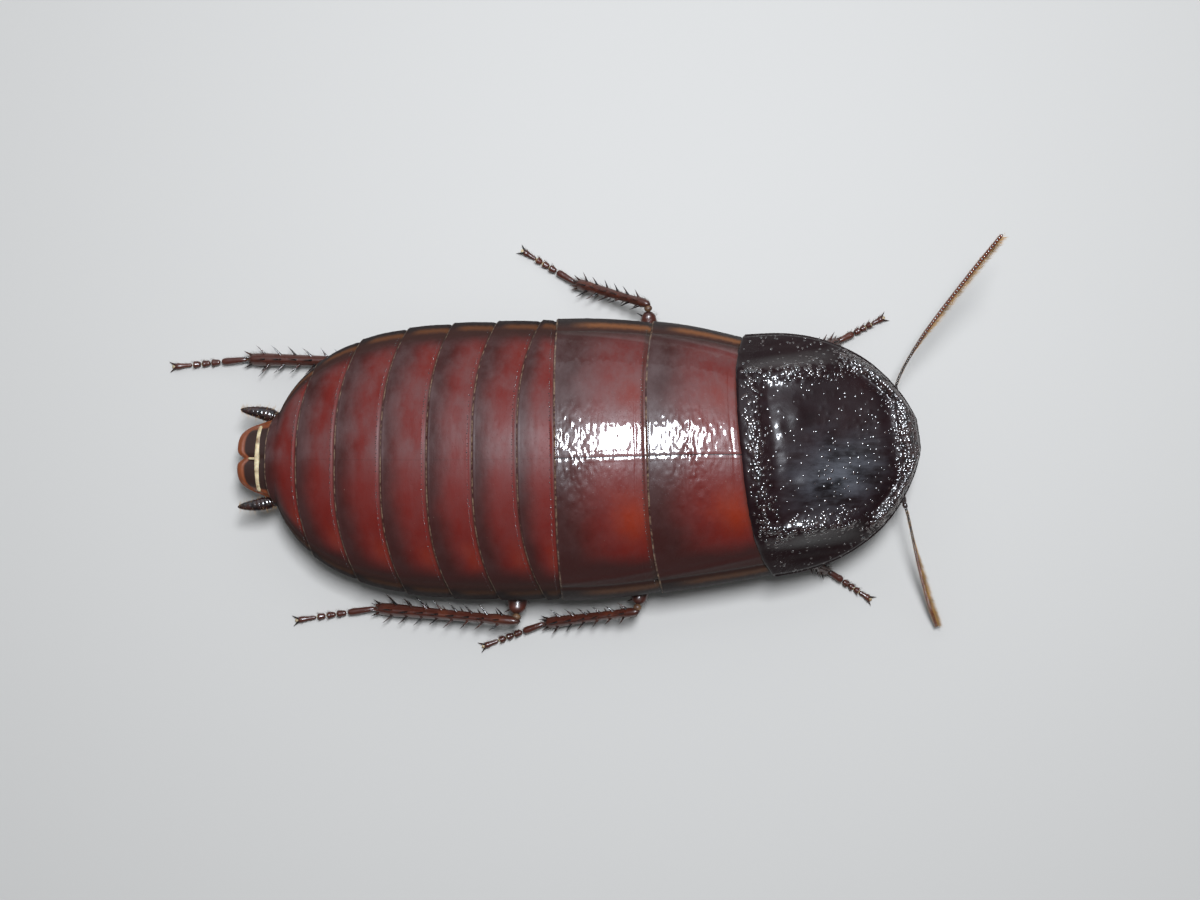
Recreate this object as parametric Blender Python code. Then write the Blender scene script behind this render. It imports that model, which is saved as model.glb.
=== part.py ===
"""A Madagascar hissing cockroach at life size, standing still on its six feet.

Lengths in this file are millimetres until the meshes are written, which takes them to metres.
The body lies along +X with the head at the +X end, its left side towards +Y, and +Z up.
Before the last step x is the distance in front of the tail tip and z the height over the floor.
"""

import math

import bmesh
import bpy
import numpy as np
from mathutils import Euler, Matrix, Vector

MM = 0.001
UPWARDS = np.array([0.0, 0.0, 1.0])
SIDEWAYS = np.array([0.0, 1.0, 0.0])

# Driving dimensions of the trunk.
BODY_LENGTH = 75.1
HALF_WIDTH = 15.6
WIDEST_AT = 38.0
TAIL_ROOT = 2.6
HIGHEST_AT = 46.0
BACK_HEIGHT = 16.9
BACK_DROP = {"tail": 8.2, "head": 1.9}
MARGIN_HEIGHT = {"tail": 7.2, "head": 8.5}
BELLY_HEIGHT = {"abdomen": 4.4, "tail": 6.3, "thorax": 5.0}
CHEST_INSET = 1.2
GAP = 0.3
OVERLAP_STEP = 0.35

# The trunk curves a little to its left towards the head: its heading at the tail and at the head.
HEADING = (math.radians(-1.5), math.radians(4.0))
# The shield and the head are turned a little more, about a point under the shield.
SHIELD_TURN = math.radians(4.5)
TURN_STARTS = 47.0
TURN_FULL = 58.0
TURN_PIVOT = 62.0

# Where the hind edge of each plate of the back crosses the midline, and how far its ends sweep forwards.
METANOTUM_EDGE = (35.0, 0.4)
MESONOTUM_EDGE = (45.0, 1.4)
SHIELD_EDGE = (55.6, 2.3)
TERGITE_EDGES = [(30.9, 2.8), (26.0, 2.6), (21.0, 2.5), (15.9, 2.4), (10.7, 2.2), (6.2, 1.6), (3.3, 0.6)]
# The front edge of each plate of the belly, from the thorax back, and the hind edge of the last one.
STERNITE_EDGES = [35.0, 30.0, 25.0, 20.0, 15.0, 10.0, 3.3]

# The pronotum, the shield over the head.
SHIELD_WIDEST = 57.0
SHIELD_HALF_WIDTH = 13.4
SHIELD_CREST = 16.8
SHIELD_FRONT_DROP = 4.6
SHIELD_SIDE_DROP = 7.0
SHIELD_DISH = 0.9
SHIELD_SHOULDER = 0.55
SHIELD_THICKNESS = 1.1
SHIELD_RIM = 0.6

# The block between the front legs: where it starts and ends, its half width and how that narrows.
PROTHORAX = {"hind": 56.4, "front": 65.0, "half": 9.4, "taper": 0.06, "floor": 8.2}

# The plate over the vent and the cerci beside it.
TAIL_PLATE = {"half": 3.7, "height": 8.0, "rise": 1.1, "droop": 1.0, "thickness": 0.55, "notch": 0.7}
CERCUS_PATH = [(3.2, 4.9, 7.0), (1.4, 5.2, 7.1), (-0.8, 5.5, 7.3)]

# The head hangs below the shield, with its face turned down and back.
HEAD_CROWN = np.array([71.2, 0.0, 10.3])
HEAD_MOUTH = np.array([67.0, 0.0, 3.6])
# Shares of the way from crown to mouth, with the head's half width and half depth there.
HEAD_SHARES = [-0.05, 0.0, 0.1, 0.24, 0.4, 0.56, 0.72, 0.87, 1.0]
HEAD_ACROSS = [1.3, 2.3, 3.3, 3.75, 3.8, 3.4, 2.8, 2.35, 1.9]
HEAD_DEPTH = [0.6, 1.2, 1.9, 2.3, 2.4, 2.2, 1.8, 1.4, 1.0]
NECK_PATH = [(65.4, 0.0, 10.1), (66.1, 0.0, 10.0), (66.9, 0.0, 9.8)]
EYE_CENTRE = (69.9, 3.3, 8.7)
EYE_RADII = (1.15, 0.75, 1.7)
EYE_TILT = math.radians(30)
# The jaw's long feeler as steps from its root, which is placed from the mouth.
PALP_ROOT = (-1.9, 3.0, 1.4)
PALP_STEPS = [(0, 0, 0), (-0.2, 1.1, -0.7), (1.2, 1.9, -1.9), (3.4, 1.7, -2.6), (5.0, 1.2, -3.1)]
PALP_GIRTH = [0.38, 0.36, 0.42, 0.36, 0.46, 0.36, 0.48, 0.5, 0.3]

# Height of the middle of a foot, whose sole is the floor.
FOOT_RISE = 0.42
# Each leg as its joints: root of the coxa, end of the coxa, knee, end of the tibia, and the foot's tip.
LEGS = {
    "front_left": [
        (62.0, 5.4, 8.4), (57.4, 2.9, 4.6), (62.8, 11.8, 6.2), (67.4, 13.6, 1.3), (72.8, 16.4, FOOT_RISE)
    ],
    "front_right": [
        (62.0, -5.4, 8.4), (57.4, -2.9, 4.6), (62.4, -11.0, 6.2), (66.2, -12.9, 1.3), (71.2, -16.2, FOOT_RISE)
    ],
    "middle_left": [
        (54.2, 7.6, 4.6), (47.8, 4.2, 2.9), (45.4, 16.8, 5.8), (37.2, 20.4, 1.3), (31.0, 24.2, FOOT_RISE)
    ],
    "middle_right": [
        (54.2, -7.6, 4.6), (47.8, -4.2, 2.9), (44.2, -16.6, 5.8), (33.6, -19.0, 1.3), (26.5, -21.7, FOOT_RISE)
    ],
    "hind_left": [
        (42.8, 8.2, 4.6), (31.4, 5.2, 2.7), (16.6, 10.8, 3.8), (-0.9, 11.6, 1.2), (-9.6, 10.8, FOOT_RISE)
    ],
    "hind_right": [
        (43.2, -8.2, 4.6), (32.6, -4.8, 2.7), (30.4, -17.7, 5.4), (14.0, -17.3, 1.2), (4.8, -18.7, FOOT_RISE)
    ],
}
# Half widths and half depths of the coxa, the femur and the tibia of each pair of legs.
LEG_GIRTHS = {
    "front": ((2.0, 1.05), (1.25, 0.85), (0.62, 0.55)),
    "middle": ((2.5, 1.1), (1.55, 0.95), (0.72, 0.62)),
    "hind": ((2.9, 1.1), (1.75, 1.0), (0.82, 0.7)),
}
# How each segment's girth swells along it.
COXA_SWELL = np.array([0.55, 0.9, 1.0, 0.85, 0.62, 0.4])
FEMUR_SWELL = np.array([0.4, 0.5, 0.56, 0.8, 1.0, 0.95, 0.8, 0.64, 0.38])
TIBIA_SWELL = np.array([0.65, 1.0, 0.9, 0.9, 0.92, 0.95, 1.0, 1.05, 1.12, 0.8])
TROCHANTER = 1.2
TROCHANTER_START = 0.78
KNEE = 0.8
ANKLE = 0.1
TARSUS_GIRTH = 0.55
TARSUS_JOINTS = [(0.0, 0.38), (0.38, 0.52), (0.52, 0.65), (0.65, 0.77), (0.77, 1.0)]
THORN_LENGTH = {"front": 0.9, "middle": 1.1, "hind": 1.3}
THORN_LEAN = 0.5
CLAW_LENGTH = 0.55
CLAW_LEAN = 1.3
CLAW_DROP = 0.55

# Antennae: the joint at the end of the root, then the points that the flagellum passes through.
ANTENNAE = {
    "left": [(73.0, 5.9, 8.3), (73.4, 8.9, 9.0), (75.6, 13.4, 12.2), (79.1, 18.7, 17.0), (82.6, 23.6, 21.7)],
    "right": [(73.7, -3.7, 8.1), (74.6, -6.4, 7.8), (75.9, -11.2, 6.0), (77.5, -16.0, 3.3), (78.9, -19.4, 1.4)],
}
ANTENNA_SOCKET = (72.5, 2.0, 8.0)
ANTENNA_ROOT_GIRTH = 0.62
ANTENNA_GIRTH = (0.5, 0.3)
ANTENNA_RINGS = 10

SHARP_EDGE = math.radians(40)
CHITIN_RED = (0.17, 0.018, 0.013)
CHITIN_BLACK = (0.012, 0.009, 0.010)
CHITIN_BROWN = (0.055, 0.012, 0.008)
MEMBRANE = (0.45, 0.33, 0.18)
EYE_COLOUR = (0.020, 0.010, 0.008)
ANTENNA_COLOUR = (0.22, 0.06, 0.025)


def material(name, colour, roughness=0.25):
    """A plain shiny material of one colour."""
    made = bpy.data.materials.get(name) or bpy.data.materials.new(name)
    made.use_nodes = True
    shader = made.node_tree.nodes["Principled BSDF"]
    shader.inputs["Base Color"].default_value = (*colour, 1.0)
    shader.inputs["Roughness"].default_value = roughness
    return made


def add_object(name, bm, surface):
    """Closes a bmesh into an object in metres, with its faces triangulated and pointing out."""
    bmesh.ops.remove_doubles(bm, verts=bm.verts, dist=1e-4)
    bmesh.ops.recalc_face_normals(bm, faces=bm.faces)
    bmesh.ops.triangulate(bm, faces=bm.faces, quad_method="SHORT_EDGE", ngon_method="BEAUTY")
    bmesh.ops.scale(bm, vec=(MM, MM, MM), verts=bm.verts)
    mesh = bpy.data.meshes.new(name)
    bm.to_mesh(mesh)
    bm.free()
    mesh.shade_smooth()
    mesh.set_sharp_from_angle(angle=SHARP_EDGE)
    mesh.materials.append(surface)
    made = bpy.data.objects.new(name, mesh)
    bpy.context.scene.collection.objects.link(made)
    return made


def slab(name, upper, lower, surface):
    """A closed plate of the trunk between two grids of points with the same rows and columns."""
    rows, columns = upper.shape[:2]
    upper, lower = curved(upper), curved(lower)
    bm = bmesh.new()
    top = [[bm.verts.new(p) for p in row] for row in upper]
    under = [[bm.verts.new(p) for p in row] for row in lower]
    for i in range(rows - 1):
        for j in range(columns - 1):
            for grid in (top, under):
                bm.faces.new((grid[i][j], grid[i + 1][j], grid[i + 1][j + 1], grid[i][j + 1]))
    rim = [(0, j) for j in range(columns)] + [(i, columns - 1) for i in range(1, rows)]
    rim += [(rows - 1, j) for j in range(columns - 2, -1, -1)] + [(i, 0) for i in range(rows - 2, 0, -1)]
    for (i, j), (k, m) in zip(rim, rim[1:] + rim[:1]):
        bm.faces.new((top[i][j], top[k][m], under[k][m], under[i][j]))
    return add_object(name, bm, surface)


def curved(points):
    """Bends points of a straight trunk along the curve of the body, and turns the shield and the head further."""
    points = np.array(points, float)
    tail, head = HEADING
    x = points[..., 0].copy()
    turn = SHIELD_TURN * np.clip((x - TURN_STARTS) / (TURN_FULL - TURN_STARTS), 0, 1)
    points[..., 0] -= points[..., 1] * (tail + (head - tail) * x / BODY_LENGTH + turn)
    points[..., 1] += tail * x + (head - tail) * x**2 / (2 * BODY_LENGTH)
    points[..., 1] += turn * (x - TURN_PIVOT) * np.clip((x - TURN_STARTS) / (TURN_FULL - TURN_STARTS), 0, 1) ** 2
    return points


def lofted(rings):
    """A bmesh skinned over closed rings of points, with both ends capped."""
    bm = bmesh.new()
    loops = []
    for ring in rings:
        verts = [bm.verts.new(p) for p in ring]
        loops.append([bm.edges.new((a, b)) for a, b in zip(verts, verts[1:] + verts[:1])])
    for first, second in zip(loops, loops[1:]):
        bmesh.ops.bridge_loops(bm, edges=first + second)
    bmesh.ops.edgeloop_fill(bm, edges=loops[0])
    bmesh.ops.edgeloop_fill(bm, edges=loops[-1])
    return bm


def unit(vector):
    return vector / np.linalg.norm(vector)


def arc_spread(count):
    """count shares from -1 to 1, closer together towards both ends."""
    return np.sin(np.linspace(-1, 1, count) * math.pi / 2)


def rings_along(points, across, deep, flat_side, sides=8):
    """Elliptical rings square to a path, across wide along flat_side and deep thick."""
    points = np.asarray(points, float)
    tangents = np.gradient(points, axis=0)
    turn = np.linspace(0, 2 * math.pi, sides, endpoint=False) + math.pi / sides
    rings = []
    for point, tangent, a, b in zip(points, tangents, across, deep):
        forward = unit(tangent)
        side = unit(flat_side - forward * (flat_side @ forward))
        up = np.cross(forward, side)
        rings.append(point + a * np.outer(np.cos(turn), side) + b * np.outer(np.sin(turn), up))
    return np.array(rings)


def smooth_path(points, count):
    """count points along a smooth curve through the given ones."""
    given = np.asarray(points, float)
    padded = np.vstack([2 * given[0] - given[1], given, 2 * given[-1] - given[-2]])
    spans = len(given) - 1
    path = []
    for t in np.linspace(0, spans, count):
        i = min(int(t), spans - 1)
        f = t - i
        a, b, c, d = padded[i : i + 4]
        bow = (2 * a - 5 * b + 4 * c - d) * f**2 + (3 * b - a - 3 * c + d) * f**3
        path.append(b + 0.5 * ((c - a) * f + bow))
    return np.array(path)


def half_width(x):
    """Half the trunk's width at x: a long oval, blunt at the tail."""
    behind = np.clip((WIDEST_AT - x) / (WIDEST_AT - TAIL_ROOT), 0, 1)
    ahead = np.clip((x - WIDEST_AT) / (BODY_LENGTH - WIDEST_AT), 0, 1)
    return HALF_WIDTH * np.sqrt(1 - behind**4) * (1 - 0.45 * ahead**1.7)


def back_height(x):
    """Height of the midline of the back: highest over the thorax and sloping down to the tail."""
    behind = np.clip((HIGHEST_AT - x) / HIGHEST_AT, 0, 1)
    ahead = np.clip((x - HIGHEST_AT) / (BODY_LENGTH - HIGHEST_AT), 0, 1)
    return BACK_HEIGHT - BACK_DROP["tail"] * behind**3.2 - BACK_DROP["head"] * ahead**2


def margin_height(x):
    """Height of the trunk's side edges, which rise evenly towards the head."""
    return np.interp(x, (0, BODY_LENGTH), (MARGIN_HEIGHT["tail"], MARGIN_HEIGHT["head"]))


def belly_height(x):
    """Height of the midline of the belly, raised at the tail and a little over the legs."""
    behind = np.clip((WIDEST_AT - x) / WIDEST_AT, 0, 1)
    rise = (BELLY_HEIGHT["tail"] - BELLY_HEIGHT["abdomen"]) * behind**4
    chest = np.interp(x, (WIDEST_AT, SHIELD_EDGE[0]), (BELLY_HEIGHT["abdomen"], BELLY_HEIGHT["thorax"]))
    return chest + rise


def back_point(x, across, lift):
    """A point of the back at x, across from -1 to 1, raised by lift over the plain loft."""
    margin = margin_height(x)
    arch = np.clip(1 - np.abs(across) ** 2.2, 0, 1) ** 0.75
    height = margin + 0.5 * GAP + (back_height(x) - margin + lift) * arch
    return np.stack([x, (half_width(x) + 0.5 * lift) * across, height], axis=-1)


def swept(edge, sweep, across):
    """x of a plate's edge, which crosses the midline at edge and whose ends lie sweep further forwards."""
    return edge + sweep * np.abs(across) ** 3


def back_plate(name, hind, front, surface, columns=17, rows=4):
    """A plate of the back from one swept edge to the next, proud of the plate behind it."""
    across = arc_spread(columns)
    share = np.linspace(0, 1, rows)[:, None]
    hind_x = swept(*hind, across)[None, :]
    front_x = swept(*front, across)[None, :] - GAP * (1 + across**2)
    x = hind_x * (1 - share) + front_x * share
    lift = OVERLAP_STEP * (1 - share) * np.ones_like(x)
    wide = np.broadcast_to(across, x.shape)
    upper = back_point(x, wide, lift)
    lower = upper.copy()
    lower[..., 2] = margin_height(x) + 0.5 * GAP
    return slab(name, upper, lower, surface)


def belly_plate(name, hind, front, surface, columns=11, rows=3):
    """A plate of the belly, a shallow trough under the margins of the back plates."""
    across = arc_spread(columns)
    x = np.linspace(hind, front - GAP, rows)[:, None] * np.ones(columns)
    margin = margin_height(x)
    wide = np.broadcast_to(across, x.shape)
    arch = np.clip(1 - np.abs(wide) ** 3, 0, 1) ** 0.8
    upper = np.stack([x, half_width(x) * wide, margin - 0.5 * GAP], axis=-1)
    lower = upper.copy()
    lower[..., 2] -= (margin - belly_height(x)) * arch
    return slab(name, upper, lower, surface)


def shield_height(x, y):
    """Height of the pronotum's upper face: domed, dished in the middle, and falling to its margins."""
    along = np.clip((x - SHIELD_EDGE[0]) / (BODY_LENGTH - SHIELD_EDGE[0]), 0, 1)
    side = np.abs(y) / SHIELD_HALF_WIDTH
    height = SHIELD_CREST - SHIELD_FRONT_DROP * along**1.8 - SHIELD_SIDE_DROP * side**2.3
    dish = np.exp(-(((along - 0.55) / 0.27) ** 2) - (side / 0.45) ** 2)
    shoulder = np.exp(-(((along - 0.45) / 0.3) ** 2) - ((side - 0.6) / 0.135) ** 2)
    return height - SHIELD_DISH * dish + SHIELD_SHOULDER * shoulder


def shield_outline(x):
    """Half width of the pronotum at x: full behind its widest place, then round to a blunt front."""
    share = np.clip((x - SHIELD_WIDEST) / (BODY_LENGTH + GAP - SHIELD_WIDEST), 0, 1)
    return SHIELD_HALF_WIDTH * (1 - share**2.6) ** 0.68


def pronotum(surface, columns=15, rows=11):
    """The shield: a thin domed plate with a rounded front and rounded hind corners."""
    across = arc_spread(columns)
    share = np.sin(np.linspace(0, 1, rows) * math.pi / 2)[:, None]
    x = swept(*SHIELD_EDGE, across) * (1 - share) + BODY_LENGTH * share
    y = shield_outline(x) * across
    thickness = SHIELD_RIM + (SHIELD_THICKNESS - SHIELD_RIM) * np.clip(3 - 3 * across**4, 0, 1)
    upper = np.stack([x, y, shield_height(x, y)], axis=-1)
    lower = upper.copy()
    lower[..., 2] -= thickness
    return slab("pronotum", upper, lower, surface)


def trunk_block(name, hind, front, half, top_of, floor, surface, columns=9, rows=4):
    """The underside of a thorax segment: its top follows top_of and its base is a rounded keel."""
    across = arc_spread(columns)
    x = np.linspace(hind, front, rows)[:, None] * np.ones(columns)
    y = half(x) * across
    top = top_of(x, y)
    keel = (top - floor) * (0.12 + 0.88 * np.clip(1 - np.abs(across) ** 3.2, 0, 1) ** 0.8)
    slab(name, np.stack([x, y, top], axis=-1), np.stack([x, y, top - keel], axis=-1), surface)


def ellipsoid(name, centre, radii, tilt, surface, segments=12, hoops=7):
    """An ellipsoid tilted about Y."""
    bm = bmesh.new()
    bmesh.ops.create_uvsphere(bm, u_segments=segments, v_segments=hoops, radius=1.0)
    place = Matrix.LocRotScale(curved(centre), Euler((0.0, tilt, 0.0)), radii)
    bmesh.ops.transform(bm, matrix=place, verts=bm.verts)
    return add_object(name, bm, surface)


def head(surface):
    """A pear-shaped capsule from the crown down to the mouth, hollowed at its sides for the eyes."""
    path = curved(HEAD_CROWN + np.outer(HEAD_SHARES, HEAD_MOUTH - HEAD_CROWN))
    made = add_object("head", lofted(rings_along(path, HEAD_ACROSS, HEAD_DEPTH, SIDEWAYS, 14)), surface)
    for side, name in ((1, "left"), (-1, "right")):
        centre = (EYE_CENTRE[0], side * EYE_CENTRE[1], EYE_CENTRE[2])
        socket = ellipsoid(f"socket_{name}", centre, [r + GAP for r in EYE_RADII], EYE_TILT, surface)
        socket.hide_render = True
        socket.display_type = "WIRE"
        cut = made.modifiers.new(f"eye_{name}", "BOOLEAN")
        cut.operation = "DIFFERENCE"
        cut.object = socket
        ellipsoid(f"eye_{name}", centre, EYE_RADII, EYE_TILT, material("eye", EYE_COLOUR, 0.15))


def tube(name, points, across, deep, flat_side, surface, sides=6):
    """A closed rod round a path."""
    add_object(name, lofted(rings_along(points, across, deep, flat_side, sides)), surface)


def mouthparts(surface):
    """The upper lip, the lower lip, and the long jointed feelers of the jaws."""
    down = unit(HEAD_MOUTH - HEAD_CROWN)
    lip = HEAD_MOUTH + np.outer([0.4, 1.0, 1.6], down)
    tube("labrum", curved(lip), [1.7, 1.5, 0.8], [0.6, 0.5, 0.35], SIDEWAYS, surface, 8)
    chin = HEAD_MOUTH + (-2.9, 0, 1.1) + np.outer([-0.4, 0.8, 2.2, 3.0], down)
    tube("labium", curved(chin), [1.2, 1.6, 1.3, 0.7], [0.5, 0.7, 0.6, 0.35], SIDEWAYS, surface, 8)
    for side, name in ((1, "left"), (-1, "right")):
        steps = (np.array(PALP_ROOT) + PALP_STEPS) * (1, side, 1)
        palp = curved(HEAD_MOUTH + smooth_path(steps, len(PALP_GIRTH)))
        tube(f"palp_{name}", palp, PALP_GIRTH, PALP_GIRTH, UPWARDS, surface)


def antenna(side, surface):
    """The thick root, then the flagellum in two lengths that taper to the tip."""
    joint = np.array(ANTENNAE[side][0])
    socket = curved(ANTENNA_SOCKET * np.array([1, math.copysign(1, joint[1]), 1]))
    girth = ANTENNA_ROOT_GIRTH * np.array([0.75, 1.0, 0.95, 0.9, 0.6])
    root = stretch(socket, joint, np.linspace(0, 1, len(girth)))
    tube(f"antenna_{side}_root", root, girth, girth, UPWARDS, surface)
    path = smooth_path(ANTENNAE[side], 2 * ANTENNA_RINGS - 1)
    girth = np.linspace(*ANTENNA_GIRTH, len(path))
    for name, first in (("base", 0), ("tip", ANTENNA_RINGS - 1)):
        part = slice(first, first + ANTENNA_RINGS)
        length = path[part].copy()
        length[0] += unit(length[1] - length[0]) * GAP
        tube(f"antenna_{side}_{name}", length, girth[part], girth[part], UPWARDS, surface)


def stretch(start, end, shares):
    """Points between two joints, stopping a little short of both."""
    inset = 0.7 * GAP / np.linalg.norm(end - start)
    shares = inset + np.array(shares) * (1 - 2 * inset)
    return start + np.outer(shares, end - start)


def raise_thorns(bm, faces, length, along, lean):
    """Draws each face out into a thorn that leans by lean towards along."""
    for face in faces:
        tip = face.calc_center_median() + face.normal * length + Vector(along) * length * lean
        bmesh.ops.poke(bm, faces=[face])["verts"][0].co = tip


def tibia(name, start, end, girth, thorn, surface):
    """A shin with two rows of thorns, one high on its outer side and one low on its inner side."""
    path = stretch(start, end, np.linspace(0, 1, len(TIBIA_SWELL)))
    along = unit(path[-1] - path[0])
    outwards = math.copysign(1, start[1]) * SIDEWAYS
    bm = lofted(rings_along(path, girth[0] * TIBIA_SWELL, girth[1] * TIBIA_SWELL, UPWARDS, 6))
    bmesh.ops.recalc_face_normals(bm, faces=bm.faces)
    chosen = []
    for face in bm.faces:
        reach = (np.array(face.calc_center_median()) - path[0]) @ along
        step = math.floor(reach / np.linalg.norm(path[1] - path[0]))
        outer = np.array(face.normal) @ outwards > 0
        sloping = len(face.verts) == 4 and abs(face.normal.z) < 0.9 and outer == (face.normal.z > 0)
        if sloping and 0 < step < len(path) - 2 and step % 2 == outer:
            chosen.append(face)
    raise_thorns(bm, chosen, thorn, along, THORN_LEAN)
    add_object(name, bm, surface)


def tarsus(name, start, end, surface):
    """Five short joints and two claws, flat underneath where the foot stands on the floor."""
    swells = ((0, 0.72), (0.3, 1.05), (0.85, 1.1))
    breaks = np.append([first + (last - first) * s for first, last in TARSUS_JOINTS for s, _ in swells], 1)
    girth = TARSUS_GIRTH * np.append([swell for _ in TARSUS_JOINTS for _, swell in swells], 0.8)
    path = stretch(start, end, breaks)
    path[:, 2] = start[2] + (end[2] - start[2]) * np.clip(2 * breaks - 0.2, 0, 1)
    rings = rings_along(path, girth, girth, UPWARDS, 6)
    rings[..., 2] = np.maximum(rings[..., 2], 0.0)
    bm = lofted(rings)
    bmesh.ops.recalc_face_normals(bm, faces=bm.faces)
    along = unit(path[-1] - path[0])
    last = (path[-1] + path[-2]) / 2
    shoulders = [face for face in bm.faces if len(face.verts) == 4 and 0 < face.normal.z < 0.9]
    claws = [face for face in shoulders if abs((np.array(face.calc_center_median()) - last) @ along) < GAP]
    raise_thorns(bm, claws, CLAW_LENGTH, along - CLAW_DROP * UPWARDS, CLAW_LEAN)
    add_object(name, bm, surface)


def leg(name, surface):
    """One leg as coxa, femur, tibia and tarsus."""
    pair = name.split("_")[0]
    root, hip, knee, ankle, toe = np.array(LEGS[name])
    root, hip = curved(root), curved(hip)
    coxa_girth, femur_girth, tibia_girth = LEG_GIRTHS[pair]
    path = stretch(root, hip, np.linspace(0, 1, len(COXA_SWELL)))
    across, deep = coxa_girth[0] * COXA_SWELL, coxa_girth[1] * (0.4 + 0.6 * COXA_SWELL)
    tube(f"{name}_coxa", path, across, deep, SIDEWAYS, surface, 8)
    onwards = unit(hip - root)
    aside = unit((knee - hip) - onwards * ((knee - hip) @ onwards))
    bend = hip + (onwards + aside) * TROCHANTER
    path = [hip + onwards * TROCHANTER_START, bend, *stretch(bend, knee, [0.45, 1.0])]
    across, deep = femur_girth[0] * FEMUR_SWELL, femur_girth[1] * (0.2 + 0.8 * FEMUR_SWELL)
    flat = np.cross(knee - hip, UPWARDS)
    tube(f"{name}_femur", smooth_path(path, len(FEMUR_SWELL)), across, deep, flat, surface, 8)
    shin_top = knee + unit(knee - bend) * KNEE
    tibia(f"{name}_tibia", shin_top, ankle, tibia_girth, THORN_LENGTH[pair], surface)
    tarsus(f"{name}_tarsus", ankle + unit(ankle - knee) * ANKLE, toe, surface)


def tail(surface, pale):
    """The notched plate over the vent and the two short cerci beside it."""
    across = arc_spread(13)
    share = np.linspace(0, 1, 4)[:, None]
    hind_x = -0.75 + 0.9 * np.abs(across) ** 3 + TAIL_PLATE["notch"] * np.exp(-((across / 0.22) ** 2))
    x = hind_x * (1 - share) + (TERGITE_EDGES[-1][0] - GAP) * share
    y = across * (TAIL_PLATE["half"] + 0.5 * share)
    top = TAIL_PLATE["height"] + TAIL_PLATE["rise"] * share - TAIL_PLATE["droop"] * np.abs(across) ** 2.5
    under = top - TAIL_PLATE["thickness"] - 0.5 * share
    slab("supra_anal_plate", np.stack([x, y, top], -1), np.stack([x, y, under], -1), pale)
    across, deep = [0.55, 0.75, 0.72, 0.6, 0.42, 0.2], [0.45, 0.55, 0.5, 0.42, 0.3, 0.15]
    for side, name in ((1, "left"), (-1, "right")):
        path = curved(smooth_path(CERCUS_PATH, len(across)) * (1, side, 1))
        tube(f"cercus_{name}", path, across, deep, SIDEWAYS, surface, 8)


def back():
    """The shield, the two plates behind it, and the seven plates of the abdomen's back."""
    pronotum(material("shield", CHITIN_BLACK, 0.2))
    red = material("back", CHITIN_RED)
    back_plate("mesonotum", MESONOTUM_EDGE, SHIELD_EDGE, red, rows=5)
    back_plate("metanotum", METANOTUM_EDGE, MESONOTUM_EDGE, red, rows=5)
    ahead = METANOTUM_EDGE
    for number, edge in enumerate(TERGITE_EDGES, start=1):
        back_plate(f"tergite_{number}", edge, ahead, red, rows=3)
        ahead = edge


def belly():
    """The plates under the abdomen and the blocks that carry the legs."""
    brown = material("belly", CHITIN_BROWN, 0.35)
    for number, (front, hind) in enumerate(zip(STERNITE_EDGES, STERNITE_EDGES[1:]), start=2):
        belly_plate(f"sternite_{number}", hind, front, brown, rows=5 if hind == STERNITE_EDGES[-1] else 3)

    def under_back(x, y):
        return margin_height(x) - 0.5 * GAP

    def under_shield(x, y):
        return shield_height(x, y) - SHIELD_THICKNESS - 2 * GAP

    def chest(x):
        return half_width(x) - CHEST_INSET

    def throat(x):
        return PROTHORAX["half"] - PROTHORAX["taper"] * (x - PROTHORAX["hind"]) ** 2

    rear, middle, front = METANOTUM_EDGE[0], MESONOTUM_EDGE[0], SHIELD_EDGE[0] - 2 * GAP
    floor = belly_height(middle) + GAP + 0.5
    trunk_block("metathorax", rear, middle - GAP, chest, under_back, floor, brown)
    trunk_block("mesothorax", middle, front, chest, under_back, floor, brown)
    span = PROTHORAX["hind"], PROTHORAX["front"]
    trunk_block("prothorax", *span, throat, under_shield, PROTHORAX["floor"], brown)


def stand_on_origin():
    """Moves every piece so that the middle of the whole model's footprint is the origin."""
    bpy.context.view_layer.update()
    corners = np.array([corner for piece in bpy.data.objects for corner in piece.bound_box])
    middle = (corners.min(0) + corners.max(0)) / 2
    for piece in bpy.data.objects:
        piece.location = (-middle[0], -middle[1], 0.0)


def main():
    for old in list(bpy.data.objects):
        bpy.data.objects.remove(old)
    back()
    belly()
    tail(material("mouth", CHITIN_BROWN, 0.35), material("tail_plate", CHITIN_BROWN, 0.3))
    head(material("head", CHITIN_BLACK, 0.25))
    mouthparts(material("mouth", CHITIN_BROWN, 0.35))
    neck = curved(smooth_path(NECK_PATH, 4))
    skin = material("membrane", MEMBRANE, 0.5)
    tube("neck", neck, [2.6, 2.3, 2.2, 2.0], [1.3, 1.2, 1.0, 0.8], SIDEWAYS, skin, 10)
    for side in ANTENNAE:
        antenna(side, material("antenna", ANTENNA_COLOUR, 0.35))
    for name in LEGS:
        leg(name, material("leg", CHITIN_BROWN, 0.25))
    stand_on_origin()


main()
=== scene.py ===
"""The looks of a life-size Madagascar hissing cockroach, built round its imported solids.

Shapes are worked out in millimetres along a straight trunk, x from the tail tip forwards, y to the
animal's left and z over the floor. bent() then curves the trunk, and place() takes the points to metres in
the solids' frame.
"""

import math

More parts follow.
